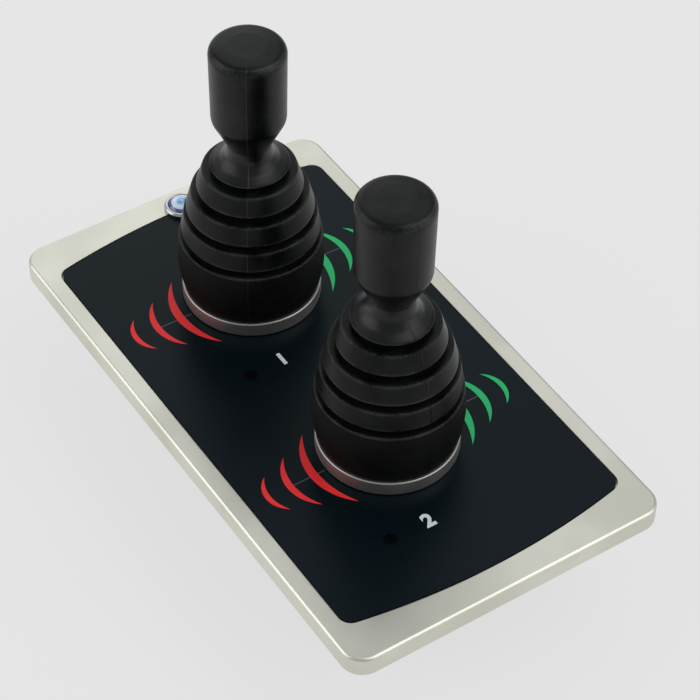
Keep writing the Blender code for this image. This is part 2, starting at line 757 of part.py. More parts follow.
def boot_outer():
    """The boot's outside from the neck down: a flared cap, three ribs with grooves, and a cup."""
    half = BOOT_GROOVE / 2
    cup = COLLAR_RADIUS + BOOT_CUP_BULGE
    cap = cup - BOOT_CAP_INSET
    flare = cap - NECK_RADIUS
    points = [
        (NECK_RADIUS, NECK_HEIGHT),
        (NECK_RADIUS + 0.06 * flare, BOOT_CAP_EDGE + 0.80 * BOOT_CAP_RISE),
        (NECK_RADIUS + 0.28 * flare, BOOT_CAP_EDGE + 0.52 * BOOT_CAP_RISE),
        (NECK_RADIUS + 0.66 * flare, BOOT_CAP_EDGE + 0.24 * BOOT_CAP_RISE),
        (cap, BOOT_CAP_EDGE),
    ]
    above = cap
    for middle, (upper, lower) in zip(groove_middles()[:0:-1], reversed(ring_radii())):
        floor = above - BOOT_GROOVE_DEPTH
        points += [(floor, middle + half), (floor, middle - half), (upper, middle - half)]
        points.append((lower, middle - half - BOOT_RING_HEIGHT))
        above = lower
    floor = above - BOOT_GROOVE_DEPTH
    points += [(floor, BOOT_CUP_TOP + BOOT_GROOVE), (floor, BOOT_CUP_TOP)]
    points += [
        (cup - BOOT_CUP_TOP_INSET, BOOT_CUP_TOP),
        (cup, BOOT_CUP_WIDEST),
        (cup - BOOT_CUP_TOP_INSET / 2, (BOOT_CUP_WIDEST + BOOT_FOOT) / 2),
        (COLLAR_RADIUS - BOOT_FOOT_STEP, BOOT_FOOT),
    ]
    return points


def boot_inner():
    """The boot's inside from its skirt up, a zigzag that follows the ribs and the grooves."""
    bore = SHAFT_RADIUS + GAP
    skirt = COLLAR_BORE - GAP - BOOT_WALL
    cup = COLLAR_RADIUS + BOOT_CUP_BULGE
    points = [
        (skirt, -BOOT_SKIRT_DEPTH),
        (skirt, BOOT_FOOT + BOOT_WALL),
        (COLLAR_RADIUS - BOOT_FOOT_STEP - BOOT_WALL, BOOT_FOOT + BOOT_WALL),
        (cup - BOOT_WALL, BOOT_CUP_WIDEST),
    ]
    for middle, (upper, lower) in zip(groove_middles(), ring_radii()):
        points.append((lower - BOOT_GROOVE_DEPTH - BOOT_WALL, middle))
        points.append(((upper + lower) / 2 - BOOT_WALL - BOOT_FOOT_STEP, middle + BOOT_PITCH / 2))
    points.append((cup - BOOT_CAP_INSET - BOOT_GROOVE_DEPTH - BOOT_WALL, groove_middles()[-1]))
    points += [(bore, NECK_HEIGHT - BOOT_WALL), (bore, NECK_HEIGHT)]
    return points


def make_boot(end, y):
    """The rubber bellows boot: a thin hollow shell, open at its foot and round the lever."""
    skirt = COLLAR_BORE - GAP
    profile = boot_outer() + [(skirt, BOOT_FOOT), (skirt, -BOOT_SKIRT_DEPTH)] + boot_inner()
    boot = add_object(f"{end}_boot", turned(profile, ROUND_STEPS), "rubber", sharp=28.0)
    place(boot, 0, y, PLATE_TOP)


def make_joystick_frame(end, y):
    """The moulded frame under the plate: a flange, two cheeks for the pin and a peg for the spring."""
    outline = rounded_rectangle(FRAME_WIDTH, FRAME_LENGTH, FRAME_CORNER, steps=3)
    frame = add_object(
        f"{end}_joystick_frame", prism(outline, FLANGE_BOTTOM, HOUSING_HEIGHT), "frame_plastic"
    )
    place(frame, 0, y)
    low = PIVOT_HEIGHT - CHEEK_DROP
    overlap = FLANGE_BOTTOM + FRAME_FLANGE / 2
    cheek = (
        (-CHEEK_FOOT_HALF, low),
        (CHEEK_FOOT_HALF, low),
        (CHEEK_TOP_HALF, PIVOT_HEIGHT),
        (CHEEK_TOP_HALF, overlap),
        (-CHEEK_TOP_HALF, overlap),
        (-CHEEK_TOP_HALF, PIVOT_HEIGHT),
    )
    for side, start in (("stern", -CHEEK_OUTER), ("bow", CHEEK_INNER)):
        shape = lay_along_y(prism([(x, -z) for x, z in cheek], start, start + CHEEK_THICKNESS))
        fuse(frame, f"{end}_cheek_{side}", shape, frame)
    peg_half = SPRING_COIL_RADIUS - SPRING_WIRE - GAP
    spring_length = SPRING_PITCH * SPRING_TURNS + 2 * SPRING_WIRE
    peg_reach = CHEEK_INNER - GAP - spring_length
    peg = block(
        -peg_half,
        peg_half,
        -CHEEK_INNER - CHEEK_THICKNESS / 2,
        -peg_reach,
        low,
        low + FRAME_PEG_THICKNESS,
    )
    fuse(frame, f"{end}_frame_peg", peg, frame)
    opening = rod(COLLAR_BORE, FLANGE_BOTTOM - OVERCUT, HOUSING_HEIGHT + OVERCUT, ROUND_STEPS)
    cut(frame, f"{end}_frame_opening", opening, frame)
    seat_bottom = PLATE_TOP - SLEEVE_DEPTH - GAP
    seat = rod(SLEEVE_RADIUS + GAP, seat_bottom, HOUSING_HEIGHT + OVERCUT, ROUND_STEPS)
    cut(frame, f"{end}_frame_seat", seat, frame)
    bore = lay_along_y(rod(PIN_RADIUS + GAP, -CHEEK_OUTER - OVERCUT, CHEEK_OUTER + OVERCUT))
    cut(frame, f"{end}_frame_bore", shift(bore, z=PIVOT_HEIGHT), frame)
    for name, x, screw_y in frame_screw_places():
        if name.startswith(end):
            hole = circle(FRAME_SCREW_RADIUS + GAP, SMALL_STEPS, x, screw_y - y)
            shape = prism(hole, FLANGE_BOTTOM - OVERCUT, HOUSING_HEIGHT + OVERCUT)
            cut(frame, f"{end}_frame_{name}", shape, frame)


def make_pivot(end, y):
    """The headed pin through both cheeks, and the clip on its tail."""
    head = -CHEEK_OUTER - GAP
    tail = CHEEK_OUTER + PIN_TAIL
    profile = (
        (0, head - PIN_HEAD_LENGTH),
        (PIN_HEAD_RADIUS, head - PIN_HEAD_LENGTH),
        (PIN_HEAD_RADIUS, head),
        (PIN_RADIUS, head),
        (PIN_RADIUS, tail - 0.3),
        (PIN_RADIUS - 0.3, tail),
        (0, tail),
    )
    pin = add_object(f"{end}_pivot_pin", lay_along_y(turned(profile, SMALL_STEPS)), "steel")
    place(pin, 0, y, PIVOT_HEIGHT)
    near = CHEEK_OUTER + GAP
    bore = PIN_RADIUS + GAP
    ring = ((bore, near), (CLIP_RADIUS, near), (CLIP_RADIUS, near + CLIP_THICKNESS))
    ring += ((bore, near + CLIP_THICKNESS),)
    clip = add_object(f"{end}_pin_clip", lay_along_y(turned(ring, SMALL_STEPS)), "steel")
    place(clip, 0, y, PIVOT_HEIGHT)


def make_lever(end, axis):
    """The tilting parts: hub, magnet, shaft and grip, in heights from the pivot."""
    reach = CHEEK_INNER - GAP
    barrel = lay_along_y(rod(HUB_BARREL_RADIUS, -reach, reach, MEDIUM_STEPS))
    hub = add_object(f"{end}_lever_hub", barrel, "hub_plastic", axis)
    boss_foot = HUB_BARREL_RADIUS + 2 * GAP
    core = block(
        -HUB_BLOCK_HALF_X,
        HUB_BLOCK_HALF_X,
        -HUB_BLOCK_HALF_Y,
        HUB_BLOCK_HALF_Y,
        -HUB_BARREL_RADIUS - GAP,
        boss_foot + GAP,
    )
    fuse(hub, f"{end}_hub_core", core, axis)
    boss = rod(HUB_BLOCK_HALF_Y + GAP, boss_foot, HUB_BOSS_TOP, MEDIUM_STEPS)
    fuse(hub, f"{end}_hub_boss", boss, axis)
    foot = block(
        -HUB_FOOT_HALF_X,
        HUB_FOOT_HALF_X,
        -HUB_FOOT_HALF_Y,
        HUB_FOOT_HALF_Y,
        -HUB_FOOT_DROP,
        GAP - HUB_BARREL_RADIUS,
    )
    fuse(hub, f"{end}_hub_foot", foot, axis)
    peg_half = SPRING_COIL_RADIUS - SPRING_WIRE - GAP
    peg = block(
        -peg_half,
        peg_half,
        -reach + GAP,
        GAP - HUB_FOOT_HALF_Y,
        -HUB_PEG_TOP - HUB_PEG_THICKNESS,
        -HUB_PEG_TOP,
    )
    fuse(hub, f"{end}_hub_peg", peg, axis)
    bore = lay_along_y(rod(PIN_RADIUS + GAP, -reach - OVERCUT, reach + OVERCUT))
    cut(hub, f"{end}_hub_pin_bore", bore, axis)
    shaft_hole = rod(SHAFT_RADIUS + GAP, SHAFT_BOTTOM - GAP, HUB_BOSS_TOP + OVERCUT, MEDIUM_STEPS)
    cut(hub, f"{end}_hub_shaft_bore", shaft_hole, axis)
    pocket = rod(
        MAGNET_RADIUS + GAP, -HUB_FOOT_DROP - OVERCUT, MAGNET_LENGTH + GAP - HUB_FOOT_DROP
    )
    cut(hub, f"{end}_hub_pocket", pocket, axis)
    magnet = rod(MAGNET_RADIUS, -HUB_FOOT_DROP, MAGNET_LENGTH - HUB_FOOT_DROP)
    add_object(f"{end}_magnet", magnet, "magnet", axis)
    crown = GRIP_TOP - PIVOT_HEIGHT - GRIP_CROWN
    shaft = (
        (0, crown),
        (SHAFT_RADIUS - 0.4, crown),
        (SHAFT_RADIUS, crown - 0.4),
        (SHAFT_RADIUS, SHAFT_BOTTOM),
        (0, SHAFT_BOTTOM),
    )
    add_object(f"{end}_lever_shaft", turned(shaft, MEDIUM_STEPS), "steel", axis)
    top = GRIP_TOP - PIVOT_HEIGHT
    bottom = GRIP_BOTTOM - PIVOT_HEIGHT
    rim = arc(GRIP_RADIUS - GRIP_RIM, top - GRIP_RIM, GRIP_RIM, 90, 0, 4)
    waist = bottom + GRIP_TAPER_HEIGHT
    grip = [(0, top), *rim]
    grip += [(GRIP_WAIST_RADIUS, waist + 1.0), (GRIP_WAIST_RADIUS - 0.5, waist - 0.6)]
    grip += [(NECK_RADIUS + 0.2, bottom + 0.9), (NECK_RADIUS, bottom)]
    grip += [(SHAFT_RADIUS + GAP, bottom), (SHAFT_RADIUS + GAP, crown + GAP), (0, crown + GAP)]
    add_object(f"{end}_grip", turned(grip, ROUND_STEPS), "rubber", axis)


def make_centring_spring(end, y):
    """The torsion spring round the hub barrel, whose legs hold the two pegs between them."""
    start_y = GAP - CHEEK_INNER + SPRING_WIRE
    count = round(SPRING_TURNS * SPRING_STEPS)
    points = [(SPRING_COIL_RADIUS, start_y, -SPRING_LEG)]
    points.append((SPRING_COIL_RADIUS, start_y, -SPRING_LEG / 2))
    for i in range(count + 1):
        angle = math.tau * i / SPRING_STEPS
        points.append(
            (
                SPRING_COIL_RADIUS * math.cos(angle),
                start_y + SPRING_PITCH * i / SPRING_STEPS,
                SPRING_COIL_RADIUS * math.sin(angle),
            )
        )
    last_y = points[-1][1]
    points.append((-SPRING_COIL_RADIUS, last_y, -SPRING_LEG / 2))
    points.append((-SPRING_COIL_RADIUS, last_y, -SPRING_LEG))
    spring = wire(f"{end}_centring_spring", points, SPRING_WIRE, "spring_steel")
    place(spring, 0, y, PIVOT_HEIGHT)


def make_power_button():
    """The lit push button: a ring with a barrel, a nut, a switch, a spring and the moving lens."""
    ring_bottom = PLATE_TOP + GAP
    ring_top = ring_bottom + BUTTON_RING_HEIGHT
    seat = ring_bottom + BUTTON_RING_FLOOR
    lens_bore = BUTTON_LENS_RADIUS + GAP
    spring_bore = BUTTON_BARREL_RADIUS - BUTTON_BARREL_WALL
    barrel_bottom = ring_bottom - BUTTON_BARREL_LENGTH
    floor = barrel_bottom + BUTTON_BARREL_FLOOR
    stem_bore = BUTTON_STEM_RADIUS + GAP
    ring = (
        (lens_bore, ring_top),
        (BUTTON_RING_RADIUS - BUTTON_RING_BEVEL, ring_top),
        (BUTTON_RING_RADIUS, ring_top - BUTTON_RING_BEVEL),
        (BUTTON_RING_RADIUS, ring_bottom),
        (BUTTON_BARREL_RADIUS, ring_bottom),
        (BUTTON_BARREL_RADIUS, barrel_bottom),
        (stem_bore, barrel_bottom),
        (stem_bore, floor),
        (spring_bore, floor),
        (spring_bore, seat),
        (lens_bore, seat),
    )
    place(add_object("power_button_ring", turned(ring, MEDIUM_STEPS), "chrome"), 0, BUTTON_Y)
    hex_nut(
        "power_button_nut",
        BUTTON_NUT_FLAT_RADIUS,
        BUTTON_NUT_HEIGHT,
        BUTTON_BARREL_RADIUS + GAP,
        0,
        BUTTON_Y,
        PLATE_BOTTOM - GAP,
        "steel",
    )
    switch_top = barrel_bottom - GAP
    switch_bottom = switch_top - BUTTON_SWITCH_HEIGHT
    well = switch_top - BUTTON_STEM_REACH - BUTTON_TRAVEL - GAP
    switch = (
        (0, well),
        (stem_bore, well),
        (stem_bore, switch_top),
        (BUTTON_SWITCH_RADIUS, switch_top),
        (BUTTON_SWITCH_RADIUS, switch_bottom),
        (0, switch_bottom),
    )
    place(add_object("power_button_switch", turned(switch, MEDIUM_STEPS), "chip_black"), 0, BUTTON_Y)
    axis = add_empty("power_button_axis", (0, BUTTON_Y, ring_top))
    dome_radius = (BUTTON_LENS_RADIUS**2 + BUTTON_DOME**2) / (2 * BUTTON_DOME)
    half_angle = math.degrees(math.asin(BUTTON_LENS_RADIUS / dome_radius))
    dome = arc(0, BUTTON_DOME - dome_radius, dome_radius, 90, 90 - half_angle, ARC_STEPS)
    stem_end = switch_top - BUTTON_STEM_REACH - ring_top
    lens = [(0, BUTTON_DOME), *dome[1:]]
    lens += [(BUTTON_LENS_RADIUS, -BUTTON_LENS_SKIRT), (BUTTON_STEM_RADIUS, -BUTTON_LENS_SKIRT)]
    lens += [(BUTTON_STEM_RADIUS, stem_end), (0, stem_end)]
    add_object("power_button_lens", turned(lens, MEDIUM_STEPS), "blue_lens", axis)
    low = floor + BUTTON_SPRING_WIRE + GAP
    high = ring_top - BUTTON_LENS_SKIRT - BUTTON_SPRING_WIRE - GAP
    count = BUTTON_SPRING_TURNS * BUTTON_SPRING_STEPS
    points = []
    for i in range(count + 1):
        angle = math.tau * i / BUTTON_SPRING_STEPS
        points.append(
            (
                BUTTON_SPRING_RADIUS * math.cos(angle),
                BUTTON_SPRING_RADIUS * math.sin(angle),
                low + (high - low) * i / count,
            )
        )
    spring = wire("power_button_spring", points, BUTTON_SPRING_WIRE, "spring_steel")
    place(spring, 0, BUTTON_Y)


def build():
    """Builds the whole panel."""
    make_bezel_plate()
    make_overlay()
    make_gasket()
    make_rear_housing()
    make_studs_and_nuts()
    make_screws()
    make_circuit_board()
    make_bus_socket()
    make_light_pipes()
    for end, y in STICKS:
        make_collar(end, y)
        make_boot(end, y)
        make_joystick_frame(end, y)
        make_pivot(end, y)
        make_lever(end, add_empty(f"{end}_lever_axis", (0, y, PIVOT_HEIGHT)))
        make_centring_spring(end, y)
    make_power_button()


for old in list(bpy.data.objects):
    bpy.data.objects.remove(old, do_unlink=True)

MATERIALS = {
    "satin_metal": material("satin_metal", (0.62, 0.61, 0.54), 0.38, 1.0),
    "overlay_black": material("overlay_black", (0.012, 0.018, 0.020), 0.42),
    "rubber": material("rubber", (0.022, 0.022, 0.022), 0.72),
    "housing_black": material("housing_black", (0.025, 0.025, 0.027), 0.55),
    "frame_plastic": material("frame_plastic", (0.05, 0.05, 0.055), 0.5),
    "hub_plastic": material("hub_plastic", (0.75, 0.74, 0.70), 0.45),
    "collar_steel": material("collar_steel", (0.34, 0.33, 0.32), 0.3, 1.0),
    "steel": material("steel", (0.60, 0.60, 0.58), 0.32, 1.0),
    "spring_steel": material("spring_steel", (0.45, 0.45, 0.46), 0.3, 1.0),
    "chrome": material("chrome", (0.80, 0.81, 0.82), 0.1, 1.0),
    "magnet": material("magnet", (0.50, 0.50, 0.52), 0.25, 1.0),
    "board_green": material("board_green", (0.02, 0.14, 0.06), 0.5),
    "chip_black": material("chip_black", (0.02, 0.02, 0.02), 0.5),
    "socket_grey": material("socket_grey", (0.08, 0.08, 0.09), 0.5),
    "clear": material("clear", (0.75, 0.78, 0.80), 0.1),
    "blue_lens": material("blue_lens", (0.12, 0.28, 0.70), 0.1),
    "tool": material("tool", (0.8, 0.2, 0.2), 0.5),
}

build()
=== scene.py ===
import json
import math

import bmesh
import bpy
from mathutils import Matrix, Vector


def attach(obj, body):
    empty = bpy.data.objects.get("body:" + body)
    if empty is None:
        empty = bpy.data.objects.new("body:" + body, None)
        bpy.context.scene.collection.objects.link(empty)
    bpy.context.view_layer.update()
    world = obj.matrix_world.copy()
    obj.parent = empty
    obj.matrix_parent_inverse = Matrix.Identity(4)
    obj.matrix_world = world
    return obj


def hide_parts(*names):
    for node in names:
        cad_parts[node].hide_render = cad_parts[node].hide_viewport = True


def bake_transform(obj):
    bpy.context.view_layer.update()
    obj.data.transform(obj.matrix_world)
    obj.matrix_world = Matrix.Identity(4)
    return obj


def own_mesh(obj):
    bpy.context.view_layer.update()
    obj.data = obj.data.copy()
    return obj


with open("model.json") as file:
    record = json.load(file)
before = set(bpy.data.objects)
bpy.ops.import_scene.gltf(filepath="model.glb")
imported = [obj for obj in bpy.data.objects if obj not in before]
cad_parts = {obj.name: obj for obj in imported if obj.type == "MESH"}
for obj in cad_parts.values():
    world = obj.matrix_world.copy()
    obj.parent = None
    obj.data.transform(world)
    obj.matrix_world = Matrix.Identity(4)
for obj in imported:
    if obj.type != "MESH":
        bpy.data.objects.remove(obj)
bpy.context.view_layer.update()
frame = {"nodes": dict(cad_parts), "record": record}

MM = 0.001
MERGE = 0.004 * MM

# Heights, in millimetres above the back of the housing
GASKET_BOTTOM = 26.7
HOUSING_TOP = 27.7
PLATE_BOTTOM = 28.0
FILM_BOTTOM = 32.5
FILM_TOP = 33.2
PLATE_TOP = 33.3
COLLAR_TOP = 37.2

# The bezel and the black film in it
PLATE_SIZE = (85.0, 151.0)
PLATE_CORNER = 5.5
PLATE_TOP_EDGE = 0.85
PLATE_BOTTOM_EDGE = 0.25
POCKET_GAP = 0.3
POCKET_EDGE = 0.3
FILM_HALF_WIDTH = 37.6
FILM_HALF_LENGTH = 68.2
FILM_END_RADIUS = 185.0
FILM_CORNER = 3.0

# The print on the film
INK_DEPTH = 0.05
MARK_RISE = 0.04
LINE_RISE = 0.015
LINE_HALF_WIDTH = 0.16
FIGURE_SIZE = 5.2
FIGURES = {"bow": ("1", -6.8, 10.35), "stern": ("2", -5.8, -49.9)}

# Where things stand on the panel, and the radii of their holes
STICKS = {"bow": 35.1, "stern": -24.6}
SLEEVE_RADIUS = 14.6
SLEEVE_GAP = 0.3
BUTTON_Y = 68.8
BUTTON_HOLE = 3.4
LIGHT_X = -16.0
LIGHT_BEHIND_STICK = 25.2
LIGHT_HOLE = 1.8
WINDOW_HOLE = 1.62
STUD_HOLE = 2.1
SCREW_HOLE = 1.6
BLIND_HOLE_DEPTH = 3.3
STUD_PLACES = {
    "bow_port": (-33.0, 62.5),
    "bow_starboard": (33.0, 62.5),
    "stern_port": (-33.0, -62.5),
    "stern_starboard": (33.0, -62.5),
}
EAR_PLACES = {
    "bow_port": (-29.2, 50.1),
    "bow_starboard": (29.2, 50.1),
    "stern_port": (-29.2, -39.6),
    "stern_starboard": (29.2, -39.6),
}
BOARD_POSTS = ((-20.4, 53.1), (20.4, 53.1), (-20.4, -42.6), (20.4, -42.6))

# The rubber of the joysticks: its parting lines in degrees round each stick, then its grooves,
# where painted shade darkens the colour, and its edges, paler from wear and a painted highlight,
# as (radius, height above the plate)
PARTING_LINES = {"bow": 236.0, "stern": 270.0}
PARTING_HALF_ANGLE = 0.7
PARTING_PROUD = 1.009
BOOT_GROOVES = ((8.6, 40.35), (12.0, 33.9), (14.8, 27.1), (16.2, 20.3))
GROOVE_HALF_HEIGHT = 1.1
# Below this height the cup is darkened too: painted shade under the ribs
CUP_TOP = 18.8
BOOT_EDGES = (
    (9.5, 41.4),
    (11.3, 39.6),
    (12.75, 34.95),
    (14.1, 32.8),
    (15.35, 28.15),
    (16.0, 26.0),
    (16.75, 21.35),
    (17.2, 19.2),
)
GRIP_EDGES = ((8.8, 74.8), (8.3, 75.5))
RUBBER_SPACING = 0.6

# The heights where the shine of handled rubber starts, is full, fades and is gone
SHINE = (74.9, 75.4, 82.0, 90.0)

# The power button
LENS_RADIUS = 3.35
LENS_TOP = 35.8
LENS_RISE = 1.2
STEM_FOOT = 20.1
WELL_FLOOR = 19.0
SPRING_FOOT = 23.8


# Modelling by hand


def put_down():
    """Back to object mode with nothing selected."""
    if bpy.context.mode != "OBJECT":
        bpy.ops.object.mode_set(mode="OBJECT")
    bpy.ops.object.select_all(action="DESELECT")


def take_up(piece):
    """Only this piece is selected and active."""
    put_down()
    piece.select_set(True)
    bpy.context.view_layer.objects.active = piece


def edit(piece):
    take_up(piece)
    bpy.ops.object.mode_set(mode="EDIT")


def pick(piece, kind, test):
    """In edit mode, selects the piece's edges or verts that pass the test."""
    bpy.ops.mesh.select_mode(type={"edges": "EDGE", "verts": "VERT"}[kind])
    bpy.ops.mesh.select_all(action="DESELECT")
    mesh = bmesh.from_edit_mesh(piece.data)
    for part in getattr(mesh, kind):
        if test(part):
            part.select_set(True)
    mesh.select_flush_mode()
    bmesh.update_edit_mesh(piece.data)


def place_of(edge):
    """The middle of an edge, in millimetres."""
    return (edge.verts[0].co + edge.verts[1].co) / (2 * MM)


def upright(edge):
    run = edge.verts[1].co - edge.verts[0].co
    return abs(run.z) > 0.99 * run.length


def level(edge):
    return abs(edge.verts[1].co.z - edge.verts[0].co.z) < 0.001 * MM


def lengthwise(edge):
    """Whether an edge runs from stern to bow, for more than 5 mm."""
    return abs(edge.verts[0].co.y - edge.verts[1].co.y) > 5 * MM


def sharp(edge):
    return edge.is_manifold and edge.calc_face_angle() > math.radians(40)


def close_up(piece):
    """Merges what lies in one place and turns every face outwards."""
    edit(piece)
    bpy.ops.mesh.select_mode(type="VERT")
    bpy.ops.mesh.select_all(action="SELECT")
    bpy.ops.mesh.remove_doubles(threshold=MERGE)
    bpy.ops.mesh.normals_make_consistent(inside=False)
    put_down()


def smooth(piece, angle, keep_flats):
    """Smooth shading up to an angle, with flats kept looking flat beside rounded edges or not."""
    take_up(piece)
    bpy.ops.object.shade_smooth_by_angle(angle=math.radians(angle))
    if keep_flats:
        bpy.ops.object.modifier_add(type="WEIGHTED_NORMAL")
        piece.modifiers[-1].keep_sharp = True
        bpy.ops.object.modifier_apply(modifier=piece.modifiers[-1].name)
    put_down()


def set_down(piece):
    """Puts the piece's place, turn and size into its mesh."""
    take_up(piece)
    bpy.ops.object.transform_apply(location=True, rotation=True, scale=True)
    put_down()


def draw(name, points):
    """A line of joined edges through points in millimetres, drawn from one vert."""
    put_down()
    bpy.ops.mesh.primitive_plane_add(size=MM, location=(0, 0, 0))
    piece = bpy.context.object
    piece.name = piece.data.name = name
    bpy.ops.object.mode_set(mode="EDIT")
    bpy.ops.mesh.select_mode(type="VERT")
    bpy.ops.mesh.merge(type="CENTER")
    bpy.ops.transform.translate(value=Vector(points[0]) * MM)
    for here, there in zip(points, points[1:]):
        step = (Vector(there) - Vector(here)) * MM
        bpy.ops.mesh.extrude_region_move(TRANSFORM_OT_translate={"value": step})
    return piece


def eased(corners, closed=False, steps=4):
    """An outline's points; each corner is (across, up, radius) and is rounded to its radius."""
    points = []
    last = len(corners) - 1
    for i, (across, up, radius) in enumerate(corners):
        here = Vector((across, up))
        if radius == 0 or (not closed and i in (0, last)):
            points.append(here)
            continue
        back = Vector(corners[i - 1][:2]) - here
        ahead = Vector(corners[(i + 1) % len(corners)][:2]) - here
        half = back.angle(ahead) / 2
        # The rounding takes less than half of the shorter side
        reach = min(radius / math.tan(half), 0.48 * back.length, 0.48 * ahead.length)
        back.normalize()
        ahead.normalize()
        centre = here + (back + ahead).normalized() * (reach / math.cos(half))
        first = here + back * reach - centre
        sweep = first.angle_signed(here + ahead * reach - centre)
        for k in range(steps + 1):
            turn = -sweep * k / steps
            points.append(
                centre
                + Vector(
                    (
                        first.x * math.cos(turn) - first.y * math.sin(turn),
                        first.x * math.sin(turn) + first.y * math.cos(turn),
                    )
                )
            )
    if closed:
        points.append(points[0])
    return points


def turned(name, profile, x=0.0, y=0.0, sides=96, base=0.0, parting=None):
    """A round piece: its profile of (radius, height) spun about an upright axis.

    A moulded piece has a fine parting line on two opposite sides, at the parting angle.
    """
    start = math.radians(parting or 0.0)
    narrow = math.radians(PARTING_HALF_ANGLE) if parting is not None else 0.0
    angle = start + narrow
    points = [
        (x + r * math.cos(angle), y + r * math.sin(angle), base + z) for r, z in profile
    ]
    piece = draw(name, points)
    centre = Vector((x, y, 0)) * MM
    bpy.ops.mesh.select_all(action="SELECT")
    if parting is None:
        bpy.ops.mesh.spin(steps=sides, angle=-math.tau, center=centre, axis=(0, 0, 1))
    else:
        wide = math.pi - 2 * narrow
        for _ in range(2):
            bpy.ops.mesh.spin(steps=sides // 2, angle=-wide, center=centre, axis=(0, 0, 1))
            bpy.ops.mesh.spin(steps=2, angle=-2 * narrow, center=centre, axis=(0, 0, 1))
    close_up(piece)
    if parting is not None:
        across = Vector((math.cos(start), math.sin(start)))

        def on_line(vert):
            spot = (vert.co - centre).xy
            return spot.length > 0.5 * MM and abs(spot.cross(across)) < 0.01 * MM

        edit(piece)
        pick(piece, "verts", on_line)
        swell = (PARTING_PROUD, PARTING_PROUD, 1)
        bpy.ops.transform.resize(value=swell, center_override=centre)
        put_down()
    return piece


def bar(name, x0, x1, y0, y1, z0, z1):
    """A block between six planes, to be shaped further."""
    put_down()
    middle = Vector((x0 + x1, y0 + y1, z0 + z1)) * (MM / 2)
    bpy.ops.mesh.primitive_cube_add(
        size=1, location=middle, scale=Vector((x1 - x0, y1 - y0, z1 - z0)) * MM
    )
    piece = bpy.context.object
    piece.name = piece.data.name = name
    set_down(piece)
    return piece


def post(name, radius, x, y, z0, z1, sides=48):
    """A round block, to be shaped further or used to cut."""
    put_down()
    bpy.ops.mesh.primitive_cylinder_add(
        vertices=sides,
        radius=radius * MM,
        depth=(z1 - z0) * MM,
        location=Vector((x, y, (z0 + z1) / 2)) * MM,
    )
    piece = bpy.context.object
    piece.name = piece.data.name = name
    set_down(piece)
    return piece


def wind(piece, pitch, turns=1, steps=28):
    """Winds an outline round the upright axis, with a rise of the pitch in millimetres a turn."""
    take_up(piece)
    bpy.ops.object.modifier_add(type="SCREW")
    change = piece.modifiers[-1]
    change.axis = "Z"
    change.screw_offset = pitch * MM
    change.iterations = turns
    change.steps = change.render_steps = steps
    change.use_merge_vertices = True
    change.merge_threshold = MERGE
    bpy.ops.object.modifier_apply(modifier=change.name)
    put_down()


def bevel(piece, test, width, segments=2):
    """Bevels the piece's edges that pass the test."""
    edit(piece)
    pick(piece, "edges", test)
    bpy.ops.mesh.bevel(offset=width * MM, segments=segments, affect="EDGES", clamp_overlap=True)
    put_down()


def combine(piece, tools, operation="DIFFERENCE"):
    """Cuts or joins the tools, which don't touch each other, in one go."""
    put_down()
    for tool in tools:
        tool.select_set(True)
    bpy.context.view_layer.objects.active = tools[0]
    if len(tools) > 1:
        bpy.ops.object.join()
    tool = tools[0]
    take_up(piece)
    bpy.ops.object.modifier_add(type="BOOLEAN")
    change = piece.modifiers[-1]
    change.operation = operation
    change.solver = "EXACT"
    change.object = tool
    bpy.ops.object.modifier_apply(modifier=change.name)
    bpy.data.objects.remove(tool)
    put_down()
    return piece


def twin(piece, name, shift=(0, 0, 0), mirrored=False):
    """A copy with its own mesh, moved by millimetres or mirrored from port to starboard."""
    take_up(piece)
    bpy.ops.object.duplicate(linked=False)
    copy = bpy.context.object
    copy.name = copy.data.name = name
    if mirrored:
        bpy.ops.transform.resize(value=(-1, 1, 1), center_override=(0, 0, 0))
        set_down(copy)
        edit(copy)
        bpy.ops.mesh.select_all(action="SELECT")
        bpy.ops.mesh.normals_make_consistent(inside=False)
        put_down()
    copy.location = Vector(shift) * MM
    set_down(copy)
    return copy


# Finishes


class Value:
    """A shader socket that takes part in plain arithmetic."""

    def __init__(self, finish, socket):
        self.finish = finish
        self.socket = socket

    def maths(self, operation, *others):
        values = dict(enumerate((self, *others)))
        return self.finish.node("ShaderNodeMath", {"operation": operation}, values)

    def __add__(self, other):
        return self.maths("ADD", other)

    __radd__ = __add__

    def __mul__(self, other):
        return self.maths("MULTIPLY", other)

    __rmul__ = __mul__

    def __sub__(self, other):
        return self.maths("SUBTRACT", other)

    def __rsub__(self, other):
        return self.finish.node("ShaderNodeMath", {"operation": "SUBTRACT"}, {0: other, 1: self})

    def __truediv__(self, other):
        return self.maths("DIVIDE", other)

    def __pow__(self, other):
        return self.maths("POWER", other)

    def __abs__(self):
        return self.maths("ABSOLUTE")

    def step(self, low, high):
        """0 below low, 1 above high, and smooth in between."""
        settings = {"interpolation_type": "SMOOTHSTEP"}
        inputs = {"Value": self, "From Min": low, "From Max": high}
        return self.finish.node("ShaderNodeMapRange", settings, inputs)


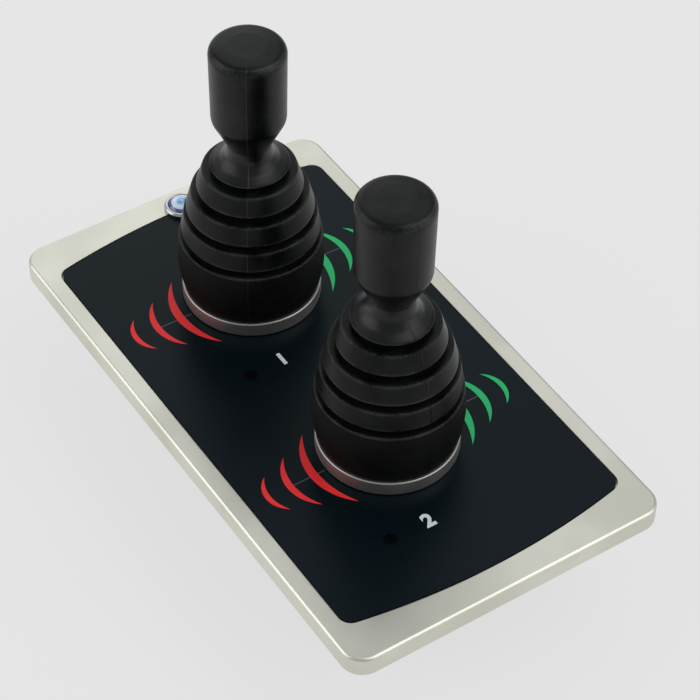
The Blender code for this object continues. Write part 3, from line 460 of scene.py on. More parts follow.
class Finish:
    """One procedural material on a Principled shader, whose constants are set on its sockets."""

    def __init__(self, name, **constants):
        self.material = bpy.data.materials.new(name)
        self.material.use_nodes = True
        self.tree = self.material.node_tree
        self.shader = self.tree.nodes["Principled BSDF"]
        for socket, value in constants.items():
            self.shader.inputs[socket.replace("_", " ")].default_value = value

    def node(self, kind, settings, inputs, output=0):
        """Adds a node: its settings first, then the values or links of its inputs."""
        made = self.tree.nodes.new(kind)
        for name, value in settings.items():
            if name == "stops":
                ramp = made.color_ramp
                while len(ramp.elements) < len(value):
                    ramp.elements.new(0.5)
                for stop, (place, colour) in zip(ramp.elements, value):
                    stop.position, stop.color = place, (*colour, 1)
            else:
                setattr(made, name, value)
        for key, value in inputs.items():
            if isinstance(value, Value):
                self.tree.links.new(value.socket, made.inputs[key])
            else:
                made.inputs[key].default_value = value
        return Value(self, made.outputs[output])

    def place(self, stretch=(1, 1, 1), shift=(0, 0, 0), attribute=None):
        """Where a point is on the piece, in metres, stretched and shifted for a pattern."""
        if attribute:
            spot = self.attribute(attribute, "Vector")
        else:
            spot = self.node("ShaderNodeTexCoord", {}, {}, "Object")
        inputs = {"Vector": spot, "Scale": stretch, "Location": shift}
        return self.node("ShaderNodeMapping", {}, inputs)

    def attribute(self, name, output="Fac"):
        return self.node("ShaderNodeAttribute", {"attribute_name": name}, {}, output)

    def along(self, axis, place):
        return self.node("ShaderNodeSeparateXYZ", {}, {0: place}, axis)

    def noise(self, place, size, detail=2.0, roughness=0.5):
        """Cloudy variation whose lumps are about this many millimetres wide."""
        inputs = {"Vector": place, "Scale": 1 / (size * MM)}
        inputs.update({"Detail": detail, "Roughness": roughness})
        return self.node("ShaderNodeTexNoise", {}, inputs, "Fac")

    def grains(self, place, size):
        """Distance to the nearest grain's middle, for moulded or blasted surfaces."""
        inputs = {"Vector": place, "Scale": 1 / (size * MM)}
        return self.node("ShaderNodeTexVoronoi", {}, inputs, "Distance")

    def mix(self, factor, low, high):
        """One colour where the factor is 0, passing to the other where it is 1."""
        low, high = (c if isinstance(c, Value) else (*c, 1) for c in (low, high))
        return self.node("ShaderNodeMix", {"data_type": "RGBA"}, {0: factor, 6: low, 7: high}, 2)

    def set(self, socket, value):
        self.tree.links.new(value.socket, self.shader.inputs[socket])

    def bump(self, height, distance, strength, under=None):
        """Relief of at most the distance in millimetres, on top of another one if given."""
        inputs = {"Height": height, "Distance": distance * MM, "Strength": strength}
        if under is not None:
            inputs["Normal"] = under
        return self.node("ShaderNodeBump", {}, inputs)


def satin_bezel():
    """Satin champagne metal, finely blasted, with a broad faint unevenness."""
    finish = Finish("satin_bezel", Metallic=1.0)
    place = finish.place()
    cloud = finish.noise(place, 26, 2)
    fine = finish.noise(place, 0.35, 3)
    tint = finish.mix(cloud.step(0.35, 0.65), (0.67, 0.665, 0.575), (0.77, 0.765, 0.675))
    finish.set("Base Color", tint)
    finish.set("Roughness", 0.33 + 0.08 * cloud + 0.06 * fine)
    finish.set("Normal", finish.bump(fine, 0.012, 0.5))
    return finish.material


def black_film():
    """Blue-black printed film with a soft sheen."""
    finish = Finish("black_film", Specular_IOR_Level=0.16, Specular_Tint=(0.75, 0.92, 1.0, 1.0))
    place = finish.place()
    cloud = finish.noise(place, 18, 2)
    fine = finish.noise(place, 0.25, 2)
    tint = finish.mix(cloud, (0.0008, 0.0032, 0.0052), (0.002, 0.0056, 0.0086))
    finish.set("Base Color", tint)
    finish.set("Roughness", 0.27 + 0.08 * cloud + 0.05 * fine)
    finish.set("Normal", finish.bump(fine, 0.006, 0.4))
    return finish.material


def moulded_rubber(name, gloss, bloom_colour):
    """Black rubber, faintly mottled, darkened in the grooves and on the cup by painted shade, and
    paler along its edges from wear and a painted highlight.

    The flared cap and the neck above it, where fingers rub, have a soft shine.
    """
    finish = Finish(name, Specular_IOR_Level=gloss, Coat_Roughness=0.38, Coat_IOR=1.28)
    place = finish.place(attribute="rest_place")
    up = finish.along("Z", place)
    start, full, fade, gone = (height * MM for height in SHINE)
    shine = up.step(start, full) * (1 - up.step(fade, gone))
    # Painted shade: the groove note darkens the grooves fully and the cup partly
    depth = finish.attribute("groove")
    edge = finish.attribute("edge")
    cloud = finish.noise(place, 6.5, 3, 0.55)
    fine = finish.noise(place, 0.6, 3, 0.55)
    bloom = (0.75 * cloud + 0.25 * fine).step(0.40, 0.64)
    # Paler edges and parting line: partly wear, partly a painted highlight
    wear_and_highlight = edge * (0.4 * fine + 0.6 * cloud).step(0.38, 0.62)
    skin = finish.mix(bloom * (1 - 0.7 * shine), (0.0005, 0.0008, 0.0012), bloom_colour)
    skin = finish.mix(0.55 * wear_and_highlight, skin, (0.050, 0.054, 0.050))
    # This darkening by the groove note is painted shade
    finish.set("Base Color", finish.mix(depth, skin, (0.0003, 0.0003, 0.0004)))
    finish.set("Roughness", 0.24 + 0.18 * cloud + 0.06 * fine + 0.5 * depth)
    finish.set("Coat Weight", shine)
    coarse = finish.bump(cloud, 0.15, 0.4)
    finish.set("Normal", finish.bump(fine, 0.012, 0.4, coarse))
    return finish.material


def gasket_rubber():
    """Dull, finely pitted sealing rubber."""
    finish = Finish("gasket_rubber")
    fine = finish.noise(finish.place(), 0.6, 3)
    finish.set("Base Color", finish.mix(fine, (0.012, 0.012, 0.013), (0.03, 0.03, 0.031)))
    finish.set("Roughness", 0.62 + 0.15 * fine)
    finish.set("Normal", finish.bump(fine, 0.03, 0.4))
    return finish.material


def turned_steel(name, low, high, roughness):
    """Steel with fine turning marks that run round it, level with its height."""
    finish = Finish(name, Metallic=1.0)
    rings = finish.noise(finish.place(stretch=(0.02, 0.02, 1)), 0.12, 2)
    cloud = finish.noise(finish.place(), 6, 2)
    finish.set("Base Color", finish.mix(cloud, low, high))
    finish.set("Roughness", roughness + 0.10 * rings + 0.06 * cloud)
    finish.set("Normal", finish.bump(rings, 0.01, 0.4))
    return finish.material


def plated(name, low, high, roughness):
    """Plated metal with a faint cloudy bloom."""
    finish = Finish(name, Metallic=1.0)
    cloud = finish.noise(finish.place(), 2.5, 3)
    finish.set("Base Color", finish.mix(cloud, low, high))
    finish.set("Roughness", roughness + 0.12 * cloud)
    finish.set("Normal", finish.bump(finish.noise(finish.place(), 0.3, 2), 0.006, 0.4))
    return finish.material


def moulded_plastic(name, low, high, roughness, grain=0.5):
    """Moulded plastic with a fine eroded grain."""
    finish = Finish(name)
    place = finish.place()
    cloud = finish.noise(place, 9, 2)
    skin = finish.grains(place, grain)
    finish.set("Base Color", finish.mix(cloud, low, high))
    finish.set("Roughness", roughness + 0.08 * cloud + 0.06 * skin)
    finish.set("Normal", finish.bump(skin, 0.03, 0.35))
    return finish.material


def printed(name, colour, pale):
    """Screen-printed ink: a little uneven in colour and gloss."""
    finish = Finish(name, Specular_IOR_Level=0.3)
    fine = finish.noise(finish.place(), 0.5, 3)
    cloud = finish.noise(finish.place(), 5, 2)
    finish.set("Base Color", finish.mix(0.7 * cloud + 0.3 * fine, colour, pale))
    finish.set("Roughness", 0.42 + 0.12 * fine)
    finish.set("Normal", finish.bump(fine, 0.006, 0.4))
    return finish.material


def smoked_window():
    """The dark face of a status light that is off."""
    finish = Finish("smoked_window", Specular_IOR_Level=0.05)
    fine = finish.noise(finish.place(), 0.6, 2)
    finish.set("Base Color", finish.mix(fine, (0.0008, 0.001, 0.0014), (0.002, 0.002, 0.003)))
    finish.set("Roughness", 0.3 + 0.1 * fine)
    return finish.material


def dome_painted_reflection():
    """The button's glossy lens: navy at its rim, with a pale ring round a blue middle; the pale
    ring is a painted reflection.
    """
    finish = Finish("dome_painted_reflection", Coat_Weight=1.0, Coat_Roughness=0.04, Coat_IOR=1.7)
    spot = finish.place(shift=(0, -BUTTON_Y * MM, 0))
    x, y = finish.along("X", spot), finish.along("Y", spot)
    radius = (x * x + y * y) ** 0.5 / (LENS_RADIUS * MM)
    # The pale stops at 0.54 and 0.74 are a painted reflection
    stops = [
        (0.0, (0.22, 0.50, 0.84)),
        (0.22, (0.07, 0.24, 0.62)),
        (0.40, (0.30, 0.56, 0.88)),
        (0.54, (0.74, 0.84, 0.90)),
        (0.74, (0.62, 0.76, 0.90)),
        (0.82, (0.02, 0.04, 0.26)),
        (1.0, (0.004, 0.008, 0.08)),
    ]
    cloud = finish.noise(finish.place(), 0.8, 2)
    ramp = finish.node("ShaderNodeValToRGB", {"stops": stops}, {0: radius})
    finish.set("Base Color", finish.mix(0.12 * cloud, ramp, (0.5, 0.6, 0.8)))
    finish.set("Roughness", 0.10 + 0.08 * cloud)
    return finish.material


def board_lacquer():
    """Green board with copper tracks under the lacquer."""
    finish = Finish("board_lacquer")
    place = finish.place()
    track_pitch = 1.6 * MM
    across = (finish.along("X", place) / track_pitch).maths("FRACT")
    track = abs(across - 0.5).step(0.36, 0.42)
    finish.set("Base Color", finish.mix(track, (0.012, 0.09, 0.04), (0.03, 0.2, 0.09)))
    finish.set("Roughness", 0.3 + 0.2 * finish.noise(place, 0.9, 2))
    finish.set("Normal", finish.bump(track, 0.035, 0.6))
    return finish.material


def clear_acrylic():
    """Clear moulded acrylic, a little hazy."""
    finish = Finish("clear_acrylic", Transmission_Weight=0.85, IOR=1.49)
    fine = finish.noise(finish.place(), 1.5, 2)
    finish.set("Base Color", finish.mix(fine, (0.82, 0.85, 0.87), (0.93, 0.95, 0.96)))
    finish.set("Roughness", 0.08 + 0.1 * fine)
    return finish.material


# A node of the CAD takes the finish named for its material slot; the others are for new pieces
FINISHES = {
    "satin_metal": satin_bezel(),
    "overlay_black": black_film(),
    "boot_rubber": moulded_rubber("boot_rubber", 0.16, (0.0050, 0.0060, 0.0056)),
    "grip_rubber": moulded_rubber("grip_rubber", 0.22, (0.0058, 0.0074, 0.0066)),
    "rubber": gasket_rubber(),
    "housing_black": moulded_plastic(
        "housing_plastic", (0.016, 0.016, 0.018), (0.034, 0.034, 0.037), 0.42
    ),
    "frame_plastic": moulded_plastic("frame_nylon", (0.04, 0.04, 0.044), (0.07, 0.07, 0.076), 0.5),
    "hub_plastic": moulded_plastic("hub_acetal", (0.68, 0.67, 0.62), (0.8, 0.79, 0.75), 0.35),
    "collar_steel": turned_steel("collar_steel", (0.38, 0.37, 0.355), (0.53, 0.52, 0.50), 0.40),
    "steel": plated("zinc_steel", (0.52, 0.52, 0.50), (0.68, 0.68, 0.66), 0.22),
    "spring_steel": plated("spring_wire", (0.38, 0.38, 0.39), (0.52, 0.52, 0.53), 0.25),
    "chrome": plated("bright_chrome", (0.44, 0.45, 0.46), (0.56, 0.57, 0.58), 0.16),
    "magnet": plated("nickel_magnet", (0.5, 0.5, 0.5), (0.62, 0.61, 0.6), 0.12),
    "board_green": board_lacquer(),
    "chip_black": moulded_plastic(
        "chip_resin", (0.012, 0.012, 0.012), (0.03, 0.03, 0.03), 0.5, grain=0.3
    ),
    "socket_grey": moulded_plastic(
        "socket_nylon", (0.05, 0.05, 0.055), (0.09, 0.09, 0.1), 0.4, grain=0.3
    ),
    "clear": clear_acrylic(),
    "blue_lens": dome_painted_reflection(),
    "window": smoked_window(),
    "port_red": printed("port_red", (0.78, 0.018, 0.022), (0.88, 0.034, 0.034)),
    "starboard_green": printed("starboard_green", (0.006, 0.46, 0.13), (0.018, 0.57, 0.18)),
    "line_grey": printed("line_grey", (0.05, 0.055, 0.058), (0.08, 0.085, 0.09)),
    "figure_white": printed("figure_white", (0.58, 0.63, 0.63), (0.72, 0.76, 0.76)),
    "contact_gold": plated("contact_gold", (0.70, 0.50, 0.18), (0.85, 0.64, 0.28), 0.14),
}


def dress(piece, finish, body="panel", replaces=(), angle=28.0):
    """Smooths a finished piece, gives it its finish and hangs it on its body.

    A piece that bends between two bodies has none here, and its normals stay free to bend too.
    """
    smooth(piece, angle, keep_flats=bool(body))
    piece.data.materials.clear()
    piece.data.materials.append(FINISHES[finish])
    if replaces:
        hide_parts(*replaces)
    if body:
        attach(piece, body)
    return piece


# The camera and the studio


def make_camera():
    """The camera at the photograph's angle."""
    bpy.ops.object.camera_add(
        location=(-0.229552, -0.346762, 0.476943),
        rotation=[math.radians(turn) for turn in (43.69909375, -0.82408772, -33.29065357)],
    )
    camera = bpy.context.object
    camera.name = "photo_camera"
    camera.data.lens = 131.4395
    camera.data.sensor_width = 36
    camera.data.clip_start, camera.data.clip_end = 0.02, 20
    bpy.context.scene.camera = camera


def soft_light(name, place, size, power, colour=(1, 1, 1)):
    """A square soft light at a place in metres, aimed at the panel."""
    put_down()
    aim = Vector((0, 0, 0.04)) - Vector(place)
    bpy.ops.object.light_add(
        type="AREA", location=place, rotation=aim.to_track_quat("-Z", "Y").to_euler()
    )
    light = bpy.context.object
    light.name = name
    light.data.shape = "SQUARE"
    light.data.size = size
    light.data.energy = power
    light.data.color = colour


def make_studio():
    """A pale floor that keeps a faint shadow, pale surroundings and soft lights."""
    put_down()
    bpy.ops.mesh.primitive_plane_add(size=36, location=(0, 0, -0.2 * MM))
    floor = bpy.context.object
    floor.name = "studio_floor"
    paint = Finish("studio_floor", Roughness=0.9, Specular_IOR_Level=0.1)
    grain = paint.noise(paint.place(), 40, 2)
    paint.set("Base Color", paint.mix(grain, (0.80, 0.80, 0.80), (0.81, 0.81, 0.81)))
    camera, glossy, through = (
        paint.node("ShaderNodeLightPath", {}, {}, f"Is {kind} Ray")
        for kind in ("Camera", "Glossy", "Transmission")
    )
    seen = camera.maths("MAXIMUM", glossy).maths("MAXIMUM", through)
    pale = {"Color": (0.806, 0.806, 0.806, 1), "Strength": 1.0}
    glow = paint.node("ShaderNodeEmission", {}, pale)
    lit = Value(paint, paint.shader.outputs[0])
    mixed = paint.node("ShaderNodeMixShader", {}, {0: 0.85 * seen, 1: lit, 2: glow})
    output = paint.tree.nodes["Material Output"]
    paint.tree.links.new(mixed.socket, output.inputs["Surface"])
    floor.data.materials.append(paint.material)
    world = bpy.data.worlds.new("pale_room")
    bpy.context.scene.world = world
    world.use_nodes = True
    room = world.node_tree.nodes["Background"].inputs
    room["Color"].default_value = (0.94, 0.97, 1.0, 1)
    room["Strength"].default_value = 0.42
    soft_light("bow_light", (0.22, 0.72, 0.42), 0.50, 0.75)
    soft_light("high_light", (0.46, 0.50, 1.02), 0.50, 0.50)
    soft_light("port_light", (-0.85, 0.48, 0.58), 1.0, 4.6, (1.0, 0.99, 0.96))
    soft_light("stern_light", (0.66, -0.76, 0.56), 0.9, 3.2)
    soft_light("top_light", (0.35, -0.35, 1.05), 0.7, 2.6)


# The plate and its film


def film_outline(grow):
    """The film's outline, grown all round: straight sides, bowed short ends, rounded corners."""
    half = FILM_HALF_WIDTH + grow
    radius = FILM_END_RADIUS + grow
    corner = FILM_CORNER + grow
    middle = FILM_HALF_LENGTH - FILM_END_RADIUS
    across = half - corner
    up = middle + math.sqrt((radius - corner) ** 2 - across**2)
    lean = math.atan2(across, up - middle)
    points = []
    for way in (1, -1):
        # Each arc: its middle, its radius, the turns where it starts and stops, and its steps
        arcs = (
            (across, up, corner, 0, math.pi / 2 - lean, 10),
            (0, middle, radius, math.pi / 2 - lean, math.pi / 2 + lean, 64),
            (-across, up, corner, math.pi / 2 + lean, math.pi, 10),
        )
        for x, y, reach, start, stop, steps in arcs:
            for i in range(steps + 1):
                turn = start + (stop - start) * i / steps
                spot = (way * (x + reach * math.cos(turn)), way * (y + reach * math.sin(turn)))
                if not points or math.dist(points[-1], spot) > 0.01:
                    points.append(spot)
    return points


def slab(name, outline, bottom, top):
    """A flat piece: its outline drawn, filled and pulled up."""
    piece = draw(name, [(x, y, bottom) for x, y in (*outline, outline[0])])
    bpy.ops.mesh.select_all(action="SELECT")
    bpy.ops.mesh.remove_doubles(threshold=MERGE)
    bpy.ops.mesh.edge_face_add()
    lift = {"value": (0, 0, (top - bottom) * MM)}
    bpy.ops.mesh.extrude_region_move(TRANSFORM_OT_translate=lift)
    close_up(piece)
    return piece


def on_pocket_edge(edge):
    """Whether an edge of the plate runs round the mouth of the film's pocket."""
    reach_x = (FILM_HALF_WIDTH + POCKET_GAP + 0.2) * MM
    reach_y = (FILM_HALF_LENGTH + POCKET_GAP + 0.2) * MM
    within = all(abs(v.co.x) < reach_x and abs(v.co.y) < reach_y for v in edge.verts)
    folded = len({round(face.normal.z) for face in edge.link_faces}) > 1
    return place_of(edge).z > PLATE_TOP - 0.01 and within and folded


def stick_and_light_holes(low, high, light_radius, light_sides):
    """Tools that cut the joysticks' and the status lights' holes between two heights."""
    sleeve = SLEEVE_RADIUS + SLEEVE_GAP
    tools = [post("hole", sleeve, 0, y, low, high, 96) for y in STICKS.values()]
    for y in STICKS.values():
        behind = y - LIGHT_BEHIND_STICK
        tools.append(post("hole", light_radius, LIGHT_X, behind, low, high, light_sides))
    return tools


def make_bezel():
    """The metal plate: rounded corners, a bright eased edge, and the film's pocket and holes."""
    x, y = (side / 2 for side in PLATE_SIZE)
    plate = bar("bezel", -x, x, -y, y, PLATE_BOTTOM, PLATE_TOP)
    bevel(plate, upright, PLATE_CORNER, 14)
    bevel(plate, lambda e: place_of(e).z > PLATE_TOP - 0.01, PLATE_TOP_EDGE, 4)
    bevel(plate, lambda e: place_of(e).z < PLATE_BOTTOM + 0.01, PLATE_BOTTOM_EDGE)
    pocket = slab("pocket", film_outline(POCKET_GAP), FILM_BOTTOM - POCKET_GAP, PLATE_TOP + 1)
    combine(plate, [pocket])
    bevel(plate, on_pocket_edge, POCKET_EDGE)
    low = PLATE_BOTTOM - 1
    holes = stick_and_light_holes(low, PLATE_TOP, LIGHT_HOLE, 32)
    holes.append(post("hole", BUTTON_HOLE, 0, BUTTON_Y, low, PLATE_TOP + 1, 48))
    combine(plate, holes)
    sockets = []
    for radius, places in ((STUD_HOLE, STUD_PLACES), (SCREW_HOLE, EAR_PLACES)):
        for x, y in places.values():
            sockets.append(post("socket", radius, x, y, low, PLATE_BOTTOM + BLIND_HOLE_DEPTH, 32))
    combine(plate, sockets)
    dress(plate, "satin_metal", replaces=["bezel_plate"])


def make_film():
    """The black film, with openings for the joysticks, the windows and the button."""
    film = slab("faceplate_film", film_outline(0), FILM_BOTTOM, FILM_TOP)
    low, high = FILM_BOTTOM - 1, FILM_TOP + 1
    holes = stick_and_light_holes(low, high, WINDOW_HOLE, 48)
    holes.append(post("hole", BUTTON_HOLE, 0, BUTTON_Y, low, high, 48))
    combine(film, holes)
    dress(film, "overlay_black", replaces=["faceplate_overlay"])


def crescent(name, outer, inner, y):
    """A printed crescent: a disc less a larger disc; each is (centre x, radius)."""
    low, high = FILM_TOP - INK_DEPTH, FILM_TOP + MARK_RISE
    mark = post(name, outer[1], outer[0], y, low, high, 256)
    bite = post("bite", inner[1], inner[0], y, FILM_TOP - 1, FILM_TOP + 1, 360)
    return combine(mark, [bite])


def make_marks():
    """Each joystick's three red crescents to port, three green to starboard, and fine lines."""
    bow, stern = STICKS["bow"], STICKS["stern"]
    shapes = {
        "large": ((-5.5, 15.8), (3.7, 22.9)),
        "medium": ((-17.0, 10.45), (-10.7, 15.1)),
        "small": ((-26.7, 6.6), (-22.4, 9.6)),
    }
    for size, (outer, inner) in shapes.items():
        first = crescent(f"bow_red_{size}", outer, inner, bow)
        made = [
            (first, "port_red"),
            (twin(first, f"stern_red_{size}", (0, stern - bow, 0)), "port_red"),
            (twin(first, f"bow_green_{size}", mirrored=True), "starboard_green"),
            (twin(first, f"stern_green_{size}", (0, stern - bow, 0), True), "starboard_green"),
        ]
        for mark, colour in made:
            dress(mark, colour)
    low, high = FILM_TOP - INK_DEPTH, FILM_TOP + LINE_RISE
    aft, fore = bow - LINE_HALF_WIDTH, bow + LINE_HALF_WIDTH
    line = bar("bow_port_line", -26.0, -17.2, aft, fore, low, high)
    bevel(line, upright, 0.15, 4)
    lines = [
        line,
        twin(line, "stern_port_line", (0, stern - bow, 0)),
        twin(line, "bow_starboard_line", mirrored=True),
        twin(line, "stern_starboard_line", (0, stern - bow, 0), True),
    ]
    for line in lines:
        dress(line, "line_grey")


def make_figures():
    """The plain figures 1 and 2 beside the joysticks."""
    for end, (text, x, y) in FIGURES.items():
        put_down()
        bpy.ops.object.text_add()
        figure = bpy.context.object
        figure.data.body = text
        figure.data.align_x, figure.data.align_y = "CENTER", "CENTER"
        figure.data.size = FIGURE_SIZE * MM
        figure.data.extrude = 0.03 * MM
        figure.data.offset = 0.22 * MM
        figure.data.resolution_u = 12
        bpy.ops.object.convert(target="MESH")
        figure.name = figure.data.name = f"{end}_figure"
        figure.location = Vector((x, y, FILM_TOP + 0.01)) * MM
        set_down(figure)
        close_up(figure)
        dress(figure, "figure_white")


def make_windows():
    """The round dark windows of the status lights, each the top of its light pipe."""
    rod = [(0.6, FILM_TOP, 0), (1.5, 33.19, 0.05), (1.5, 8.4, 0), (2.1, 6.9, 0)]
    profile = [(0, FILM_TOP), *eased(rod, steps=3), (0, 6.9)]
    for end, y in STICKS.items():
        window = turned(f"{end}_window", profile, LIGHT_X, y - LIGHT_BEHIND_STICK, 48)
        dress(window, "window", replaces=[f"status_light_pipe_{end}"])


# The joysticks


def make_collar(end, y):
    """The steel ring round the foot of the boot, with its sleeve through the plate."""
    corners = [
        (12.4, COLLAR_TOP, 0.2),
        (17.0, COLLAR_TOP, 0.35),
        (17.0, 33.5, 0.12),
        (SLEEVE_RADIUS, 33.5, 0.2),
        (SLEEVE_RADIUS, 26.8, 0.3),
        (12.4, 26.8, 0.3),
    ]
    ring = turned(f"{end}_collar", eased(corners, closed=True), 0, y, 160)
    dress(ring, "collar_steel", replaces=[f"{end}_collar_ring"])


def boot_profile():
    """The boot's section above the plate: cap, three ribs, cup, skirt, and the inside back up."""
    outside = [
        (5.3, 46.7, 0),
        (5.32, 45.7, 2.0),
        (5.75, 44.4, 2.5),
        (7.2, 42.7, 3.0),
        (9.2, 41.75, 0.8),
        (9.55, 41.45, 0.12),
        (9.2, 41.05, 0.25),
        (5.9, 40.90, 0.4),
        (5.9, 39.75, 0.4),
        (11.3, 39.70, 0.22),
        (12.8, 34.85, 0.2),
        (8.9, 34.80, 0.5),
        (8.9, 32.95, 0.5),
        (14.1, 32.90, 0.22),
        (15.4, 28.05, 0.2),
        (11.4, 28.00, 0.5),
        (11.4, 26.15, 0.5),
        (16.0, 26.10, 0.22),
        (16.8, 21.25, 0.2),
        (12.8, 21.20, 0.5),
        (12.8, 19.35, 0.5),
        (17.2, 19.30, 0.3),
        (17.62, 16.2, 9.0),
        (17.8, 12.5, 9.0),
        (17.5, 8.2, 9.0),
        (16.5, 4.2, 0.3),
        (12.1, 4.2, 0.3),
        (12.1, -5.0, 0.2),
    ]
    inside = [
        (10.6, -5.0, 0.2),
        (10.6, 5.7, 0.6),
        (15.0, 5.7, 0.6),
        (16.3, 12.5, 4.0),
        (16.0, 17.2, 1.0),
        (11.5, 20.27, 0.6),
        (14.6, 23.67, 0.6),
        (10.1, 27.07, 0.6),
        (12.9, 30.47, 0.6),
        (7.7, 33.87, 0.6),
        (10.1, 37.27, 0.6),
        (4.7, 40.67, 0.6),
        (3.3, 44.2, 0.6),
        (3.3, 46.7, 0),
    ]
    return eased(outside) + eased(inside, steps=3) + [Vector((5.3, 46.7))]


def grip_profile():
    """The grip's section above the plate: neck, taper, cylinder, round rim and low crown."""
    outside = [
        (3.3, 46.7, 0),
        (5.3, 46.7, 0),
        (5.35, 48.1, 5.0),
        (8.85, 55.4, 4.0),
        (9.08, 75.85, 2.0),
        (4.6, 76.25, 6.0),
        (0, 76.3, 0),
    ]
    return eased(outside, steps=8)


def spaced(points):
    """The same outline with its points close enough for the rubber to bend and be noted."""
    filled = [points[0]]
    for here, there in zip(points, points[1:]):
        count = max(1, math.ceil((there - here).length / RUBBER_SPACING))
        filled += [here.lerp(there, i / count) for i in range(1, count + 1)]
    return filled


def note_rubber(piece, y, line, edges, grooves=()):
    """Notes on the verts that the rubber's finish follows, so that its grain bends with it.

    They hold where a vert lies at rest, how much painted shade darkens it from lying down in a
    groove or on the cup below them, and how much paler it is, from wear and a painted highlight,
    from lying on an edge or on the parting line.
    """
    across = Vector((math.cos(math.radians(line)), math.sin(math.radians(line))))
    rest, painted_shade, wear_and_highlight = [], [], []
    for vert in piece.data.vertices:
        rest.extend(vert.co)
        spot = Vector((vert.co.x, vert.co.y - y * MM))
        radius = spot.length / MM
        height = vert.co.z / MM - PLATE_TOP
        # Painted shade: full in the grooves, 0.6 on the cup below the ribs
        if any(abs(height - h) < GROOVE_HALF_HEIGHT and radius < r for r, h in grooves):
            painted_shade.append(1.0)
        else:
            painted_shade.append(0.6 if grooves and height < CUP_TOP else 0.0)
        # Paleness on edges and the parting line: partly wear, partly a painted highlight
        away = min(math.hypot(radius - r, height - h) for r, h in edges)
        rub = max(0.0, min(1.0, 1.5 - away / 0.3))
        if abs(spot.cross(across)) < 0.01 * MM:
            rub = max(rub, 0.7)
        wear_and_highlight.append(rub)
    piece.data.attributes.new("rest_place", "FLOAT_VECTOR", "POINT")
    piece.data.attributes["rest_place"].data.foreach_set("vector", rest)
    for name, values in (("groove", painted_shade), ("edge", wear_and_highlight)):
        piece.data.attributes.new(name, "FLOAT", "POINT")
        piece.data.attributes[name].data.foreach_set("value", values)


def make_stick(end, y):
    """A joystick: its bellows boot, which bends as it tilts, and the grip on top."""
    line = PARTING_LINES[end]
    boot = turned(f"{end}_bellows", spaced(boot_profile()), 0, y, 144, PLATE_TOP, line)
    note_rubber(boot, y, line, BOOT_EDGES, BOOT_GROOVES)
    dress(boot, "boot_rubber", None, [f"{end}_boot"], 24)
    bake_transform(boot)
    bore = [Vector((0, 50.0)), Vector((3.3, 50.0)), Vector((3.3, 46.7))]
    profile = spaced(grip_profile() + bore)
    grip = turned(f"{end}_handle", profile, 0, y, 144, PLATE_TOP, line)
    note_rubber(grip, y, line, GRIP_EDGES)
    dress(grip, "grip_rubber", f"{end}_joystick", [f"{end}_grip"], 24)


# The power button


def make_button():
    """The chrome ring with its barrel, and the domed lens that is pressed.

    The spring's top sits in a groove under the lens.
    """
    corners = [
        (3.45, 34.6, 0.12),
        (4.1, 34.6, 0.4),
        (4.4, 34.1, 0.2),
        (4.4, 33.32, 0.1),
        (3.38, 33.32, 0.03),
        (3.1, 32.95, 0.05),
        (3.1, 22.6, 0.2),
        (1.3, 22.6, 0.1),
        (1.3, SPRING_FOOT, 0.05),
        (2.5, SPRING_FOOT, 0.1),
        (2.5, 32.4, 0.05),
        (2.62, 32.9, 0.05),
        (3.45, 33.75, 0.05),
    ]
    ring = turned("button_ring", eased(corners, closed=True, steps=3), 0, BUTTON_Y, 96)
    dress(ring, "chrome", replaces=["power_button_ring"])
    dome = (LENS_RADIUS**2 + LENS_RISE**2) / (2 * LENS_RISE)
    steps = 14
    leans = [math.asin(LENS_RADIUS / dome) * i / steps for i in range(steps + 1)]
    profile = [(dome * math.sin(lean), LENS_TOP - dome * (1 - math.cos(lean))) for lean in leans]
    profile += [(LENS_RADIUS, 34.55), (2.55, 33.8), (2.25, 33.8), (2.25, 35.08), (1.35, 35.08)]
    profile += [(1.35, 34.6), (1.0, 34.3), (1.0, STEM_FOOT), (0, STEM_FOOT)]
    lens = turned("button_lens", profile, 0, BUTTON_Y, 96)
    dress(lens, "blue_lens", "power_button", ["power_button_lens"])


def make_button_spring():
    """The coil spring that lifts the lens."""
    wire, sides, coil, turns = 0.25, 16, 1.85, 3
    low, high = 24.35, 34.75
    put_down()
    bpy.ops.mesh.primitive_circle_add(
        vertices=sides,
        radius=wire * MM,
        location=(coil * MM, 0, low * MM),
        rotation=(math.pi / 2, 0, 0),
    )
    spring = bpy.context.object
    spring.name = spring.data.name = "button_spring"
    set_down(spring)
    wind(spring, (high - low) / turns, turns, 32)
    edit(spring)
    bpy.ops.mesh.select_all(action="SELECT")
    bpy.ops.mesh.fill_holes(sides=sides)
    close_up(spring)
    spring.location = Vector((0, BUTTON_Y, 0)) * MM
    set_down(spring)
    dress(spring, "spring_steel", replaces=["power_button_spring"])
    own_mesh(spring)


# Behind the panel


def rounded_box(half, low, high, radius):
    """A rounded rectangle: half its width, its stern and bow ends, and its corner radius."""
    corners = ((half, low), (half, high), (-half, high), (-half, low))
    return eased([(x, y, radius) for x, y in corners], closed=True, steps=8)[:-1]


def make_gasket():
    """The soft seal under the plate's rim."""
    outline = rounded_box(41.5, -74.5, 74.5, 4.5)
    gasket = slab("panel_gasket", outline, GASKET_BOTTOM, HOUSING_TOP)
    opening = rounded_box(35.5, -68.5, 73.3, 3.3)
    combine(gasket, [slab("opening", opening, GASKET_BOTTOM - 0.7, HOUSING_TOP + 1.3)])
    bevel(gasket, lambda e: level(e) and sharp(e), 0.2)
    dress(gasket, "rubber", replaces=["dash_gasket"])


